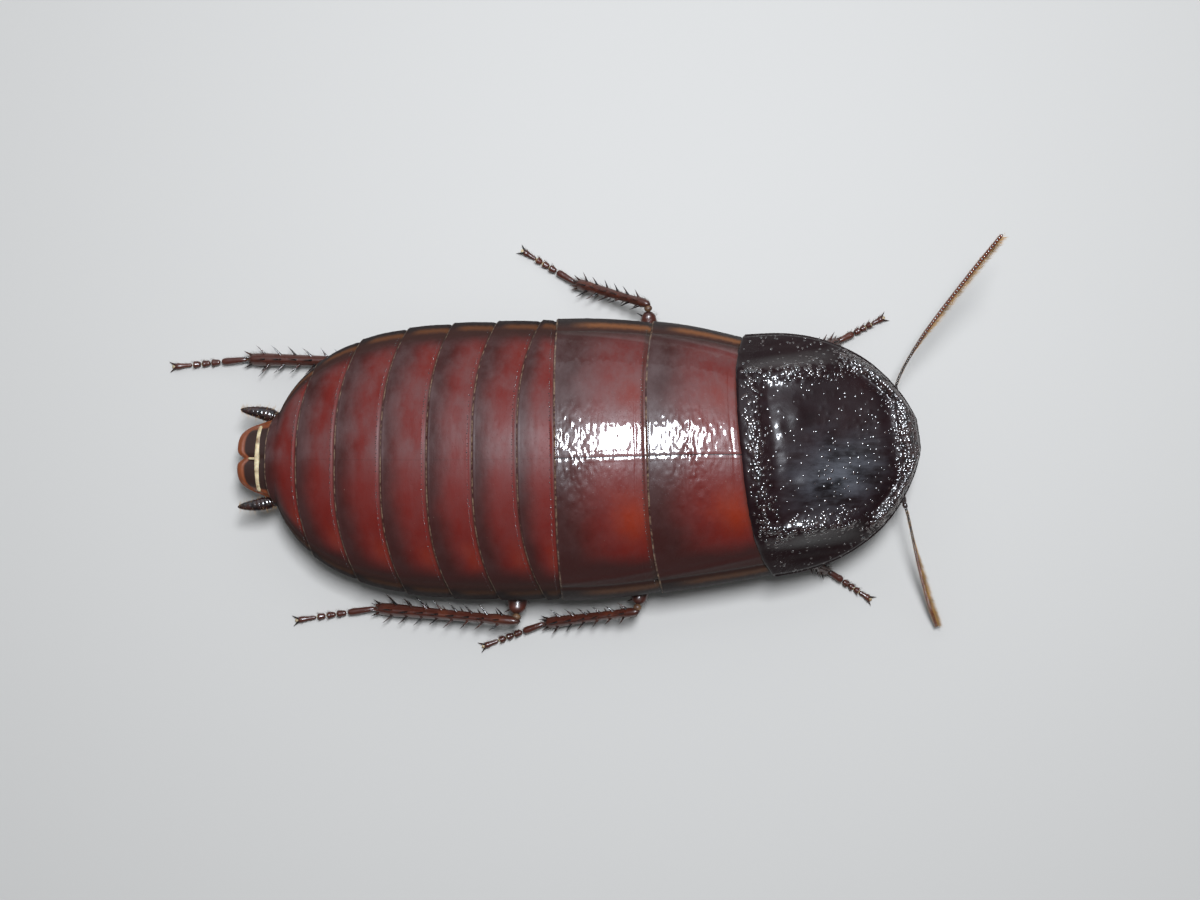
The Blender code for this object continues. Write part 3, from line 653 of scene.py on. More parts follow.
def back_plates(paint, patch, rough, coat, wrinkles):
    """Red shell. Along each plate, from its hind edge (0) to the edge of the plate ahead (1): a thin golden
    line on the hind edge, a painted highlight on the lip, a dark part, bright red, and an olive band, which
    just behind the plate ahead is painted shadow under its lip and along the flanks is the border's own tone.
    Soft orange patches, which show more on the right, and a smoky grey haze, a painted reflection, which
    shows more on the left, lie over the red. The flanks are dark, with a thin tan band; on the right the dark
    edge and the black rim reach further in and the tan band is fainter, painted shade on that flank.
    Near-black paint along the midline is painted shade in its groove, and darker punctures are painted shade
    in the pits. patch gives the orange patches' place along and aside, width and strength, coat the clear
    coat's weight and roughness and the refraction, and wrinkles is over 0.4 on the thorax."""
    colours = looks()
    on_thorax = wrinkles > 0.4
    share, spot = paint.own_map()
    side = abs(spot * 2 - 1)
    cloud = paint.noise(0.25, 4) - 0.5
    fine = paint.noise(1.7, 4, rough=0.65) - 0.5
    haze = paint.noise(0.5, 6, (1.0, 0.5, 1.0), 0.6)
    right = (spot + cloud * 0.04).step(0.55, 0.4)
    along = share + cloud * 0.34 + fine * 0.07 - side.step(0.3, 0.8) * 0.1
    # On the right the dark edge starts further in: painted shade on the flank turned from the light.
    edge = (side + cloud * 0.1 + fine * 0.03 + right * (0.13 if on_thorax else 0.05)).step(0.78, 0.92)
    bright = along.step(0.02, 0.62) * (1 - edge)
    colour = paint.blend(tuple(colours.shell_dark), tuple(colours.shell_red), bright)
    reach, middle, width, strength = patch
    aside = (side + cloud * 0.2).bell(middle, width)
    orange = along.bell(reach, 0.34) * aside * (right * 0.7 + 0.3) * strength
    colour = paint.blend(colour, tuple(colours.patch_orange), orange * bright)
    # A smoky grey haze over the red, stronger on the left: a painted reflection of the soft light.
    painted_haze = (haze + cloud * 0.4).step(0.26, 0.78) * (0.85 - right * 0.6) * (1 - edge)
    colour = paint.blend(colour, (0.12, 0.08, 0.078), painted_haze * 0.55)
    # An olive band just behind the plate ahead, painted shadow under its lip, and along the flank the
    # border's own olive tone.
    olive = share.bell(0.97, 0.05) * 0.5 + (side + fine * 0.05).bell(0.93, 0.1) * 0.5
    colour = paint.blend(colour, tuple(colours.shell_olive), olive)
    # A near-black rim on the outer flank, the border's own dark tone, reaching further in on the right as
    # painted shade.
    rim = (side + right * 0.03 + fine * 0.02).step(0.93, 0.98)
    colour = paint.blend(colour, (0.006, 0.0035, 0.003), rim * 0.8)
    # The tan band is fainter on the right: painted shade on that flank.
    tan = (side + fine * 0.02).bell(0.95, 0.03) * (1 - right * 0.6) * (share + cloud * 0.2).step(0.1, 0.4)
    colour = paint.blend(colour, (0.26, 0.085, 0.02), tan * wrinkles)
    # A thin golden line along each hind edge: a painted highlight on the lip.
    lip_glint = (1 - (share + fine * 0.004).step(0.004, 0.014)) * (fine + 0.5).step(0.4, 0.65)
    colour = paint.blend(colour, (0.3, 0.2, 0.125), lip_glint * 0.7)
    # A near-black line along the midline groove, strong on the thorax: painted shade in the groove.
    line = 1 - abs(spot - 0.5).step(0.0012, 0.0035)
    colour = paint.blend(colour, (0.006, 0.002, 0.002), line * (0.9 if on_thorax else 0.1))
    speck = (1 - paint.cells(1.3).step(0.02, 0.06)) * paint.noise(0.5, 2).step(0.5, 0.66)
    colour = paint.blend(colour, (0.4, 0.32, 0.22), speck * 0.5)
    puncture = 1 - paint.cells(3.6).step(0.03, 0.24)
    # The punctures are also painted darker: painted shade in the pits.
    colour = paint.blend(colour, tuple(colours.shell_dark), puncture * 0.3)
    crease = paint.noise(2.0, 5, (1.8, 0.5, 1.0), 0.6)
    height = crease * wrinkles * 1.6 - puncture * 0.5 + paint.noise(15.0, 3) * 0.12
    roughness = fine * 0.16 + cloud * 0.12 + speck * 0.3 + edge * 0.15 + rough
    weight, coat_rough, refraction = coat
    gloss = (1 - edge) * weight
    return paint.finish(
        colour, roughness, height, 0.022, Coat_Weight=gloss, Coat_Roughness=coat_rough, IOR=refraction
    )


def shield_black(paint):
    """Black shell with a blue-grey haze in long streaks, a painted reflection of the light, a satin depth
    under a clear gloss, granulated ridges and a brown border. The map gives the way forwards from the hind
    edge and the way across."""
    along, spot = paint.own_map()
    side = abs(spot * 2 - 1)
    cloud = paint.noise(0.22, 4) - 0.5
    streak = paint.noise(0.8, 5, (0.22, 1.0, 1.0), 0.62)
    border = (side + cloud * 0.06).step(0.72, 0.8)
    ridge = along.bell(0.08, 0.1) + side.bell(0.66, 0.16) * along.bell(0.45, 0.4) + along.step(0.8, 0.95)
    lower = (spot + cloud * 0.2).bell(0.38, 0.28) * along.bell(0.5, 0.45)
    # Blue-grey streaks on the disc: a painted reflection of the light.
    painted_haze = (streak + cloud * 0.3).step(0.34, 0.72) * (lower * 0.93 + 0.07)
    colour = paint.blend(tuple(looks().shield_black), (0.085, 0.086, 0.098), painted_haze)
    colour = paint.blend(colour, (0.02, 0.003, 0.004), (1 - lower) * (cloud + 0.6) * 0.7)
    colour = paint.blend(colour, (0.012, 0.007, 0.007), border * 0.5)
    grain = 1 - paint.cells(3.4).step(0.05, 0.42)
    fine = paint.noise(2.6, 5)
    height = grain * (ridge.step(0.1, 0.7) * 0.7 + 0.1) + fine * 0.3 + streak * 0.1
    height = height + paint.noise(14.0, 3) * 0.08
    roughness = cloud * 0.1 + 0.36
    gloss = 0.45 - border * 0.4
    return paint.finish(colour, roughness, height, 0.04, Coat_Weight=gloss, Coat_Roughness=0.06, IOR=1.28)


def granule_gloss(paint):
    """Granules: hard and very glossy, black-brown."""
    colour = paint.blend((0.008, 0.005, 0.005), (0.03, 0.012, 0.01), paint.noise(1.5, 3).step(0.35, 0.65))
    return paint.finish(colour, 0.26, Coat_Weight=1.0, Coat_Roughness=0.16, IOR=2.0)


def mottled(paint, dark, light, rough, depth, per_mm, coat=0.2):
    """Shell mottled between two colours, per_mm blots to the millimetre, with punctures and a fine grain."""
    cloud = paint.noise(per_mm, 5)
    colour = paint.blend(tuple(dark), tuple(light), cloud.step(0.35, 0.68))
    puncture = 1 - paint.cells(3.2).step(0.04, 0.3)
    height = paint.noise(3.0, 5) * 0.6 - puncture * 0.6 + paint.noise(16.0, 2) * 0.12
    roughness = rough + (cloud - 0.5) * 0.2
    return paint.finish(colour, roughness, height, depth, Coat_Weight=coat, Coat_Roughness=0.15, IOR=1.55)


def belly_plates(paint):
    """Brown belly shell: darker to the sides, a paler soft band along each hind edge."""
    share, side = paint.own_map()
    side = abs(side * 2 - 1)
    cloud = paint.noise(0.3, 5) - 0.5
    colour = paint.blend((0.075, 0.02, 0.009), (0.022, 0.007, 0.005), (side + cloud * 0.3).step(0.35, 0.85))
    colour = paint.blend(colour, (0.16, 0.055, 0.022), (share + cloud * 0.15).bell(0.62, 0.4) * 0.35)
    colour = paint.blend(colour, (0.2, 0.11, 0.05), share.bell(0.0, 0.06) * 0.6)
    puncture = 1 - paint.cells(2.8).step(0.03, 0.26)
    height = paint.noise(2.4, 5, (1.6, 0.6, 1.0)) * 0.6 - puncture * 0.6 + paint.noise(14.0, 3) * 0.15
    roughness = 0.34 + cloud * 0.2
    return paint.finish(colour, roughness, height, 0.025, Coat_Weight=0.15, Coat_Roughness=0.2, IOR=1.55)


def chest_plates(paint):
    """The thorax seen from below: brown plates between pale soft skin, which follows the seams of the map."""
    share, side = paint.own_map()
    side = abs(side * 2 - 1)
    cloud = paint.noise(0.5, 5) - 0.5
    seams = (side + cloud * 0.12).bell(0.42, 0.1)
    seams = seams + (share + cloud * 0.2).bell(0.5, 0.12) * side.step(0.1, 0.3)
    hard = paint.blend((0.07, 0.019, 0.009), (0.025, 0.008, 0.005), cloud.step(-0.15, 0.25))
    colour = paint.blend(hard, (0.26, 0.16, 0.08), seams.step(0.15, 0.9))
    height = paint.noise(2.2, 6) * 0.7 + paint.noise(12.0, 3) * 0.2
    return paint.finish(colour, 0.42 + cloud * 0.15, height, 0.04, IOR=1.5)


def soft_skin(paint):
    """Pale skin between plates, with fine folds."""
    cloud = paint.noise(0.8, 5)
    colour = paint.blend((0.2, 0.12, 0.06), tuple(looks().soft_skin), cloud.step(0.3, 0.65))
    height = paint.noise(3.0, 5, (2.2, 0.7, 0.7)) + paint.noise(11.0, 3) * 0.3
    return paint.finish(colour, 0.5, height, 0.05, Subsurface_Weight=0.1, Subsurface_Scale=0.0008)


def joint_skin(paint):
    """Brown skin in the joints of the legs."""
    dark, light = (0.06, 0.025, 0.012), (0.2, 0.11, 0.05)
    return mottled(paint, dark, light, rough=0.5, depth=0.03, per_mm=1.0, coat=0.0)


def tail_rim(paint):
    """The tail plate: dark lobes with an orange-brown rim along its hind edge (map 0) and its sides."""
    share, side = paint.own_map()
    cloud = paint.noise(0.9, 4) - 0.5
    rim = (1 - (share + cloud * 0.05).step(0.1, 0.24)) + (abs(side * 2 - 1) + cloud * 0.04).step(0.78, 0.93)
    colour = paint.blend((0.03, 0.013, 0.01), (0.2, 0.05, 0.016), rim.step(0.1, 0.9) * (cloud + 0.9))
    height = paint.noise(3.0, 5) * 0.6 + paint.noise(13.0, 3) * 0.2
    return paint.finish(colour, 0.36, height, 0.03, Coat_Weight=0.15, Coat_Roughness=0.15)


def face_shell(paint):
    """The head: black crown, dark red-brown brow, a paler clypeus below the seam over the mouth, and a
    brown streak down the middle of the face."""
    turn, down = paint.own_map()
    cloud = paint.noise(0.6, 5) - 0.5
    colour = paint.blend((0.008, 0.005, 0.005), (0.05, 0.013, 0.008), (down + cloud * 0.3).step(0.25, 0.62))
    front = turn.bell(0.25, 0.2)
    colour = paint.blend(colour, (0.2, 0.08, 0.03), (down + cloud * 0.05).step(0.72, 0.8) * front * 0.8)
    streak = (turn + cloud * 0.05).bell(0.25, 0.07) * down.bell(0.62, 0.2)
    colour = paint.blend(colour, (0.09, 0.03, 0.014), streak * 0.6)
    puncture = 1 - paint.cells(4.0).step(0.04, 0.3)
    height = paint.noise(3.4, 5, (1.0, 1.6, 0.7)) * 0.5 - puncture * 0.6 + paint.noise(16.0, 3) * 0.12
    roughness = 0.28 + cloud * 0.2
    return paint.finish(colour, roughness, height, 0.025, Coat_Weight=0.4, Coat_Roughness=0.1, IOR=1.5)


def eye_facets(paint):
    """A faceted eye: six-sided lenses, about 16 to the millimetre, on black-brown."""
    lens_height = 1 - paint.cells(15.0, random=0.12)
    colour = paint.blend((0.006, 0.004, 0.004), (0.04, 0.018, 0.012), paint.noise(0.8, 3).step(0.35, 0.7))
    return paint.finish(colour, 0.16, lens_height, 0.012, Coat_Weight=0.5, Coat_Roughness=0.06)


def ringed(paint):
    """A feeler: orange-brown beads, each dark at its joint, blacker towards the root (map 0) than the tip."""
    along = paint.own_map()[1]
    place_in_ring = paint.node("ShaderNodeMath", {"operation": "FRACT"}, {0: along * ANTENNA_RINGS})
    joint = 1 - place_in_ring.bell(0.5, 0.42)
    bead_colour = paint.blend((0.012, 0.006, 0.006), tuple(looks().antenna_brown), along.step(0.18, 0.5))
    colour = paint.blend(bead_colour, (0.008, 0.003, 0.003), joint * 0.9)
    height = paint.noise(9.0, 4)
    return paint.finish(colour, 0.24, height, 0.004, Coat_Weight=1.0, Coat_Roughness=0.16, IOR=1.9)


def leg_shell(paint):
    """Legs: dark red-brown, blacker at both ends of each segment, with long fine wrinkles and punctures."""
    along = paint.own_map()[1]
    cloud = paint.noise(0.45, 5) - 0.5
    ends = 1 - (along + cloud * 0.1).step(0.0, 0.14) * (1 - (along + cloud * 0.1).step(0.84, 0.98))
    colour = paint.blend(tuple(looks().leg_brown), (0.016, 0.006, 0.005), ends * 0.85)
    colour = paint.blend(colour, (0.14, 0.035, 0.014), cloud.step(0.02, 0.25) * 0.5)
    puncture = 1 - paint.cells(4.2).step(0.04, 0.3)
    height = paint.noise(2.6, 5) * 0.5 - puncture * 0.5 + paint.noise(15.0, 3) * 0.15
    roughness = 0.3 + cloud * 0.2
    return paint.finish(colour, roughness, height, 0.03, Coat_Weight=0.25, Coat_Roughness=0.12, IOR=1.55)


def spine_shell(paint):
    """Spines and claws: clouded red-brown and black, hard and glossy."""
    colour = paint.blend((0.06, 0.016, 0.009), (0.006, 0.004, 0.004), paint.noise(1.2, 3).step(0.3, 0.6))
    return paint.finish(colour, 0.2, paint.noise(7.0, 4), 0.01, Coat_Weight=0.4, Coat_Roughness=0.08)


def bristle(paint, colour):
    """Fine stiff hair of one colour with a slight change along the body."""
    tone = paint.blend(tuple(c * 0.55 for c in colour), tuple(colour), paint.noise(0.7, 3).step(0.35, 0.65))
    return paint.finish(tone, 0.4, Sheen_Weight=0.15)


def jaw_black(paint):
    """Jaws, cerci and the rims of the breathing holes: glossy black-brown."""
    dark, light = (0.005, 0.003, 0.003), (0.03, 0.008, 0.005)
    return mottled(paint, dark, light, rough=0.18, depth=0.015, per_mm=1.2, coat=0.5)


def mouth_brown(paint):
    """Lips and palps: satin brown."""
    dark, light = (0.04, 0.012, 0.006), tuple(looks().mouth_brown)
    return mottled(paint, dark, light, rough=0.34, depth=0.02, per_mm=0.9)


def cream_lens(paint):
    """The two pale spots on the brow: cream, smooth and glossy."""
    colour = paint.blend((0.5, 0.36, 0.2), (0.72, 0.6, 0.4), paint.noise(1.6, 3).step(0.35, 0.65))
    return paint.finish(colour, 0.3, paint.noise(8.0, 3), 0.01, Coat_Weight=0.3)


# The back.


def plate_lift(share):
    """How far a back plate stands off the plain back: most at its hind edge, with a slight swell between."""
    share = np.clip(share, 0, 1)
    return PLATE_STEP * (1 - share) + 0.05 * np.sin(math.pi * share)


def plate_grid(hind, ahead, rows, columns, tuck, relief):
    """The upper and under sides of a back plate, from its hind edge to tuck mm beneath the plate ahead.
    Its lift over the plain back falls evenly from the hind edge, dips in a groove beneath the plate ahead,
    and swells at the hind lip. relief adds to it, from the distances to the hind edge and to the edge ahead,
    the share across and y."""
    across = spread(columns)[None, :]
    hind_x, front_x = swept(hind, across), swept(ahead, across)
    length = front_x - hind_x
    reach = 1 + tuck / length
    share = np.linspace(0, 1, rows)[:, None] ** 1.15 * reach
    x = hind_x + length * share
    from_hind, to_ahead = x - hind_x, front_x - x
    lift = plate_lift(share) - 0.09 * step(to_ahead, 0.5, 0.3) - 0.16 * step(to_ahead, 0.1, -0.8)
    lift += 0.03 * bell(from_hind - 0.14, 0.1) - 0.05 * step(from_hind, 0.08, 0.0)
    lift = lift + relief(from_hind, to_ahead, across, half_width(x) * across)
    spots = joined(share, across / 2 + 0.5)
    return back(x, across, lift), back(x, across, lift - PLATE_THICKNESS), spots


def tergite_relief(number):
    """Relief of an abdominal plate: faint cross wrinkles, sparse pits, and a low swell inside its margin."""

    def relief(from_hind, to_ahead, across, y):
        """Wrinkles less pits, and bell curves of the share across."""
        wrinkle = noise(from_hind * 2.2 + number * 9, y * 0.5, number) * 0.008
        dent = pits(from_hind * 1.5, y * 1.5 + number * 17, 40 + number, 0.2, 0.4) * 0.02
        side = np.abs(across)
        return wrinkle - dent + 0.05 * bell(side - 0.95, 0.03) - 0.05 * bell(side - 0.9, 0.02)

    return relief


def notum_relief(number, rough_at):
    """Relief of a thorax plate: a midline groove with fine banks, a seam 1.3 mm behind the plate ahead, a
    field of pits and short cross wrinkles rough_at mm from the hind edge, and a border outside a long
    groove."""

    def relief(from_hind, to_ahead, across, y):
        """The sum of all these, each a bell curve of its distance times its depth."""
        side = np.abs(across)
        middle = -0.12 * bell(y, 0.07) + 0.05 * bell(np.abs(y) - 0.19, 0.09)
        seam = -0.035 * bell(to_ahead - 1.3 - 0.1 * noise(y * 0.4, y * 0, 3), 0.09)
        rough = bell(y, 7.5) * (0.9 * bell(from_hind - rough_at, 1.8) + 0.2) + 0.1
        wrinkle = noise(from_hind * 2.6 + number * 31, y * 1.3, 11 + number) * 0.045
        wrinkle += noise(from_hind * 1.2, y * 0.8 + 5, 21 + number) * 0.03
        dent = pits(from_hind * 1.7, y * 1.6, 31 + number, 0.22, 0.6) * 0.05
        dots = pits(from_hind * 1.3, y * 1.2, 36 + number, 0.16, 0.6) * (0.02 + 0.03 * rough)
        flare = 0.1 * step(side, 0.93, 1.0) - 0.14 * bell(side - 0.915, 0.012)
        fold = 0.07 * bell(side - 0.88 + 0.05 * from_hind / 10, 0.018)
        return middle + seam + (wrinkle - dent) * rough + dots + flare + fold

    return relief


def build_shield():
    """The shield over the head: a domed plate with a raised hind band, side ridges and outside them grooves
    that fade out towards the hind edge, a thick front lip, a midline groove and long fine ridges. Each of
    these is a bell curve of its distance, added to the plain height. Granules crowd on the ridges."""
    rows, columns = SHIELD_GRID
    across = spread(columns)[None, :]
    share = np.sin(np.linspace(0, 1, rows) * math.pi / 2)[:, None]
    x = swept(SHIELD, across) * (1 - share) + BODY_LENGTH * share
    y = outline(x) * across
    from_hind = x - swept(SHIELD, across)
    # Distance inside the outline, roughly, from the nearest point of it along x or y.
    edge = np.minimum(outline(x) * (1 - np.abs(across)), (BODY_LENGTH - x) * 0.9 + 0.02)
    front = step(x, 66.0, 70.5)
    beside = np.abs(y)
    height = shield_height(x, y)
    height += 0.32 * bell(from_hind - 1.3, 1.0) * step(beside, 10.8, 8.0)
    height -= 0.2 * bell(from_hind - 3.3, 0.8) * step(beside, 9.5, 7.0)
    lip = 0.42 * bell(edge - 1.0, 0.75) - 0.3 * bell(edge - 2.6, 0.8)
    height += lip * front - 0.25 * step(edge, 0.25, 0.0)
    height += 1.0 * bell(beside - 8.9 + 0.5 * front, 1.1) * bell(x - 62.8, 4.6)
    groove = 0.3 * bell(beside - 10.7, 0.7) * step(x, 69, 64)
    groove += 0.12 * bell(beside - 11.8, 0.5) * step(x, 67, 63)
    height -= groove * step(from_hind, 0.5, 2.6)
    height += 0.1 * bell(from_hind, 0.8) * step(beside, 8.0, 10.0)
    knob = np.hypot(x - 62.0, beside - 3.9)
    height += 0.16 * bell(knob, 0.9) - 0.14 * bell(np.hypot(x - 60.6, beside - 2.8), 0.8)
    height += 0.12 * bell(np.hypot((x - 67.2) / 1.8, beside - 2.6), 0.9)
    height -= 0.06 * bell(y + 0.12 * noise(x * 0.4, x * 0, 5), 0.08) * step(x, 57, 59)
    height += 0.02 * noise(x * 0.22, y * 1.7, 6) + 0.03 * noise(x * 0.7, y * 0.9, 7)
    ridges = np.clip(bell(from_hind - 1.3, 1.3) * step(beside, 11, 9) + bell(edge - 1.2, 1.1) * front, 0, 1)
    ridges = np.clip(ridges + 1.2 * bell(beside - 8.5, 1.2) * bell(x - 62.8, 4.6), 0, 1)
    height += pits(x * 1.5, y * 1.4, 8, 0.36, 0.95) * 0.1 * ridges + pits(x, y, 18, 0.22, 0.45) * 0.05
    height += noise(x * 2.1, y * 1.7, 9) * 0.06 * ridges
    thick = 0.55 + 0.6 * step(edge, 0.0, 2.5)
    grid = bent(joined(x, y, height))
    spots = joined(from_hind / 19.5, across / 2 + 0.5)
    skin = Skin()
    skin.plate(grid, bent(joined(x, y, shield_height(x, y) - thick)), spots, bulge=0.45, hoops=4)
    skin.build("pronotum_shell", finish_once(shield_black), "shield", ["pronotum"])
    scatter = np.random.default_rng(61)
    i = scatter.integers(1, rows - 1, GRANULE_TRIES)
    j = scatter.integers(3, columns - 3, GRANULE_TRIES)
    inner = 0.05 * bell(y + 5.2, 2.6) * bell(x - 63.5, 5.0)
    kept = scatter.uniform(0, 1, GRANULE_TRIES) < 0.045 + inner[i, j] + 0.36 * ridges[i, j] ** 1.5
    i, j = i[kept], j[kept]
    normals = facing(grid)[i, j]
    width = scatter.uniform(0.1, 0.2, len(i)) * (0.9 + 0.5 * ridges[i, j])
    bumps = Skin()
    rise = width**2 / scatter.uniform(0.5, 1.0, len(i))
    bumps.spikes(grid[i, j] - normals * 0.02, normals, rise + 0.02, width, spots[i, j], bead, sides=8)
    bumps.build("pronotum_granules", finish_once(granule_gloss), "shield", map_name="OFBake")


def granule_row(skin, hind, ahead, number):
    """A row of granules on a plate, 0.55 mm behind the edge of the plate ahead."""
    scatter = np.random.default_rng(80 + number)
    across = np.linspace(-0.93, 0.93, 130 - 5 * number)
    across = across + scatter.normal(0, 0.0025, across.shape)
    x = swept(ahead, across) - 0.55 + scatter.normal(0, 0.03, across.shape)
    share = (x - swept(hind, across)) / (swept(ahead, across) - swept(hind, across))
    lift = plate_lift(share) - 0.01
    roots = back(x, across, lift)
    ways = unit(back(x, across, lift + 1) - roots)
    where = np.column_stack([(number + share) / 9, across / 2 + 0.5])
    size = scatter.uniform(0.04, 0.08, len(across))
    kept = scatter.uniform(0, 1, len(across)) < 0.8
    roots, ways, where, size = bent(roots)[kept], ways[kept], where[kept], size[kept]
    skin.spikes(roots, ways, size * 0.7, size, where, bead, sides=7)


def build_back():
    """The two thorax plates and the seven plates of the abdomen, each lapping over the one behind."""
    patch, coat = (0.8, 0.43, 0.3, 0.9), (0.75, 0.06, 1.34)
    red = finish_once(back_plates, patch, 0.36, coat, 0.6, name="notum_red")
    nota = (("mesonotum", MESONOTUM, SHIELD, 4.6), ("metanotum", METANOTUM, MESONOTUM, 2.0))
    for number, (name, hind, ahead, rough_at) in enumerate(nota):
        skin = Skin()
        relief = notum_relief(number, rough_at)
        top, under, spots = plate_grid(hind, ahead, rows=110, columns=260, tuck=1.5, relief=relief)
        skin.plate(bent(top), bent(under), spots)
        skin.build(f"{name}_shell", red, "back", [name])
    patch, coat = (0.75, 0.72, 0.2, 0.4), (0.05, 0.3, 1.27)
    red = finish_once(back_plates, patch, 0.5, coat, 0.3, name="tergite_red")
    granules = Skin()
    ahead = METANOTUM
    for number, hind in enumerate(TERGITES, start=1):
        skin = Skin()
        relief = tergite_relief(number)
        top, under, spots = plate_grid(hind, ahead, rows=54, columns=190, tuck=1.4, relief=relief)
        skin.plate(bent(top), bent(under), spots)
        skin.build(f"tergite_{number}_shell", red, "back", [f"tergite_{number}"])
        granule_row(granules, hind, ahead, number)
        ahead = hind
    granule_row(granules, METANOTUM, MESONOTUM, 8)
    granules.build("back_granules", finish_once(granule_gloss), "back", map_name="OFBake")


def build_tail():
    """The two-lobed tail plate behind a cream band of soft skin, and the two ringed cerci. The plate's hind
    edge follows the fifth power of |across|, with a bell curve for the cleft between the lobes."""
    across = spread(90)[None, :]
    share = np.linspace(0, 1, 44)[:, None]
    hind = -0.8 + 1.9 * np.abs(across) ** 5 + 0.72 * bell(across, 0.13)
    x = hind * (1 - share) + 2.9 * share
    y = across * (3.65 + 0.55 * share)
    height = 8.05 + 1.15 * share - 1.0 * np.abs(across) ** 2.5 - 0.12 * bell(across, 0.07)
    height = height + 0.1 * bell(share - 0.06, 0.07) + 0.07 * bell(np.abs(across) - 0.95, 0.05)
    top = joined(x, y, height)
    spots = joined(share, across / 2 + 0.5)
    skin = Skin()
    skin.plate(bent(top), bent(top - 0.4 * UP), spots)
    skin.build("tail_plate_shell", finish_once(tail_rim), "tail_plate", ["supra_anal_plate"])
    band = Skin()
    body = [(2.0, 0, 7.7), (4.0, 0, 7.8), (7.0, 0, 8.0), (10.0, 0, 8.4)]
    table = stations(body, [3.9, 4.6, 6.0, 7.5], [0.6, 0.75, 0.9, 1.1])
    band.tube(bent(rings(table, 60, 60, SIDEWAYS, near=0.12, far=0.1)))
    even = np.linspace(-1, 1, 9)
    path = np.column_stack([1.35 + 0.25 * even**2, 3.7 * even, 8.7 - 0.95 * np.abs(even) ** 2.5])
    cleft = [(1.4, 0, 8.75), (0.9, 0, 8.55), (0.3, 0, 8.3)]
    band.tube(bent(rings(stations(path, [0.28] * 9, [0.15] * 9), 60, 16, FORWARDS, near=0.04, far=0.04)))
    band.tube(bent(rings(stations(cleft, [0.14] * 4, [0.1] * 4), 20, 12, SIDEWAYS, near=0.1, far=0.2)))
    band.build("tail_skin", finish_once(soft_skin), "membrane")
    hairs = Skin()

    def nine_rings(share, turn):
        """A cercus's nine swollen rings: the size of a sine."""
        return 0.07 * np.abs(np.sin(share * 9 * math.pi))

    for name, side in SIDES.items():
        path = np.array([(3.4, 4.7, 7.0), (1.4, 5.2, 7.1), (-0.9, 5.5, 7.3)]) * (1, side, 1)
        table = stations(path, [0.5, 0.75, 0.74, 0.62, 0.45, 0.2], [0.42, 0.55, 0.52, 0.44, 0.32, 0.15])
        grid = bent(rings(table, 90, 28, SIDEWAYS, near=0.05, far=0.12, relief=nine_rings))
        skin = Skin()
        skin.tube(grid)
        skin.build(f"cercus_{name}_rings", finish_once(jaw_black), "mouth", [f"cercus_{name}"])
        tile = (int(side > 0), 0)
        sprout(hairs, grid, 130, (0.35, 0.8), 0.014, seed=90 + int(side), lean=-0.4, tile=tile, tiles=(2, 1))
    hairs.build("cercus_bristles", gold_bristle(), "mouth", map_name="OFBake")


def gold_bristle():
    """The bristles of feelers, mouth and cerci."""
    return finish_once(bristle, tuple(looks().bristle_gold), name="gold_bristle")


def dark_bristle():
    """The bristles of the legs."""
    return finish_once(bristle, (0.06, 0.025, 0.012), name="dark_bristle")


def sprout(
    skin, grid, count, lengths, girth, seed, lean, tile=(0, 0), tiles=(1, 1), rows=(0.06, 0.94), keep=None
):
    """Bristles scattered over a tube's rings, between two shares of its length. Each stands out from the tube
    and leans along it, with a length between the two given, times keep(way out, share along). The tube has a
    tile of the bristles' map to itself. None comes nearer the floor than 0.04 mm."""
    scatter = np.random.default_rng(seed)
    i = (scatter.uniform(*rows, count) * (grid.shape[0] - 1)).astype(int)
    j = scatter.integers(0, grid.shape[1], count)
    middle = grid[i].mean(axis=1)
    along = unit(np.gradient(grid.mean(axis=1), axis=0)[i])
    out = unit(grid[i, j] - middle)
    ways = unit(out + along * lean + scatter.normal(0, 0.12, out.shape))
    roots = grid[i, j] - out * 0.02
    where = np.column_stack([tile[0] + j / grid.shape[1], tile[1] + i / grid.shape[0]]) / tiles
    long = scatter.uniform(*lengths, count)
    if keep is not None:
        long = long * keep(out, i / grid.shape[0])
    chosen = (roots[:, 2] > 0.12) & (roots[:, 2] + ways[:, 2] * long > 0.04) & (long > 0.05)
    bends = along[chosen] * 0.3
    roots, ways, long, where = roots[chosen], ways[chosen], long[chosen], where[chosen]
    skin.spikes(roots, ways, long, girth, where, needle, bends, rows=3)


def row_of_places(count, row, rows):
    """Places on the map for one row of spines out of several."""
    return np.column_stack([(np.arange(count) + 0.5) / count, np.full(count, (row + 0.5) / rows)])


# The belly.


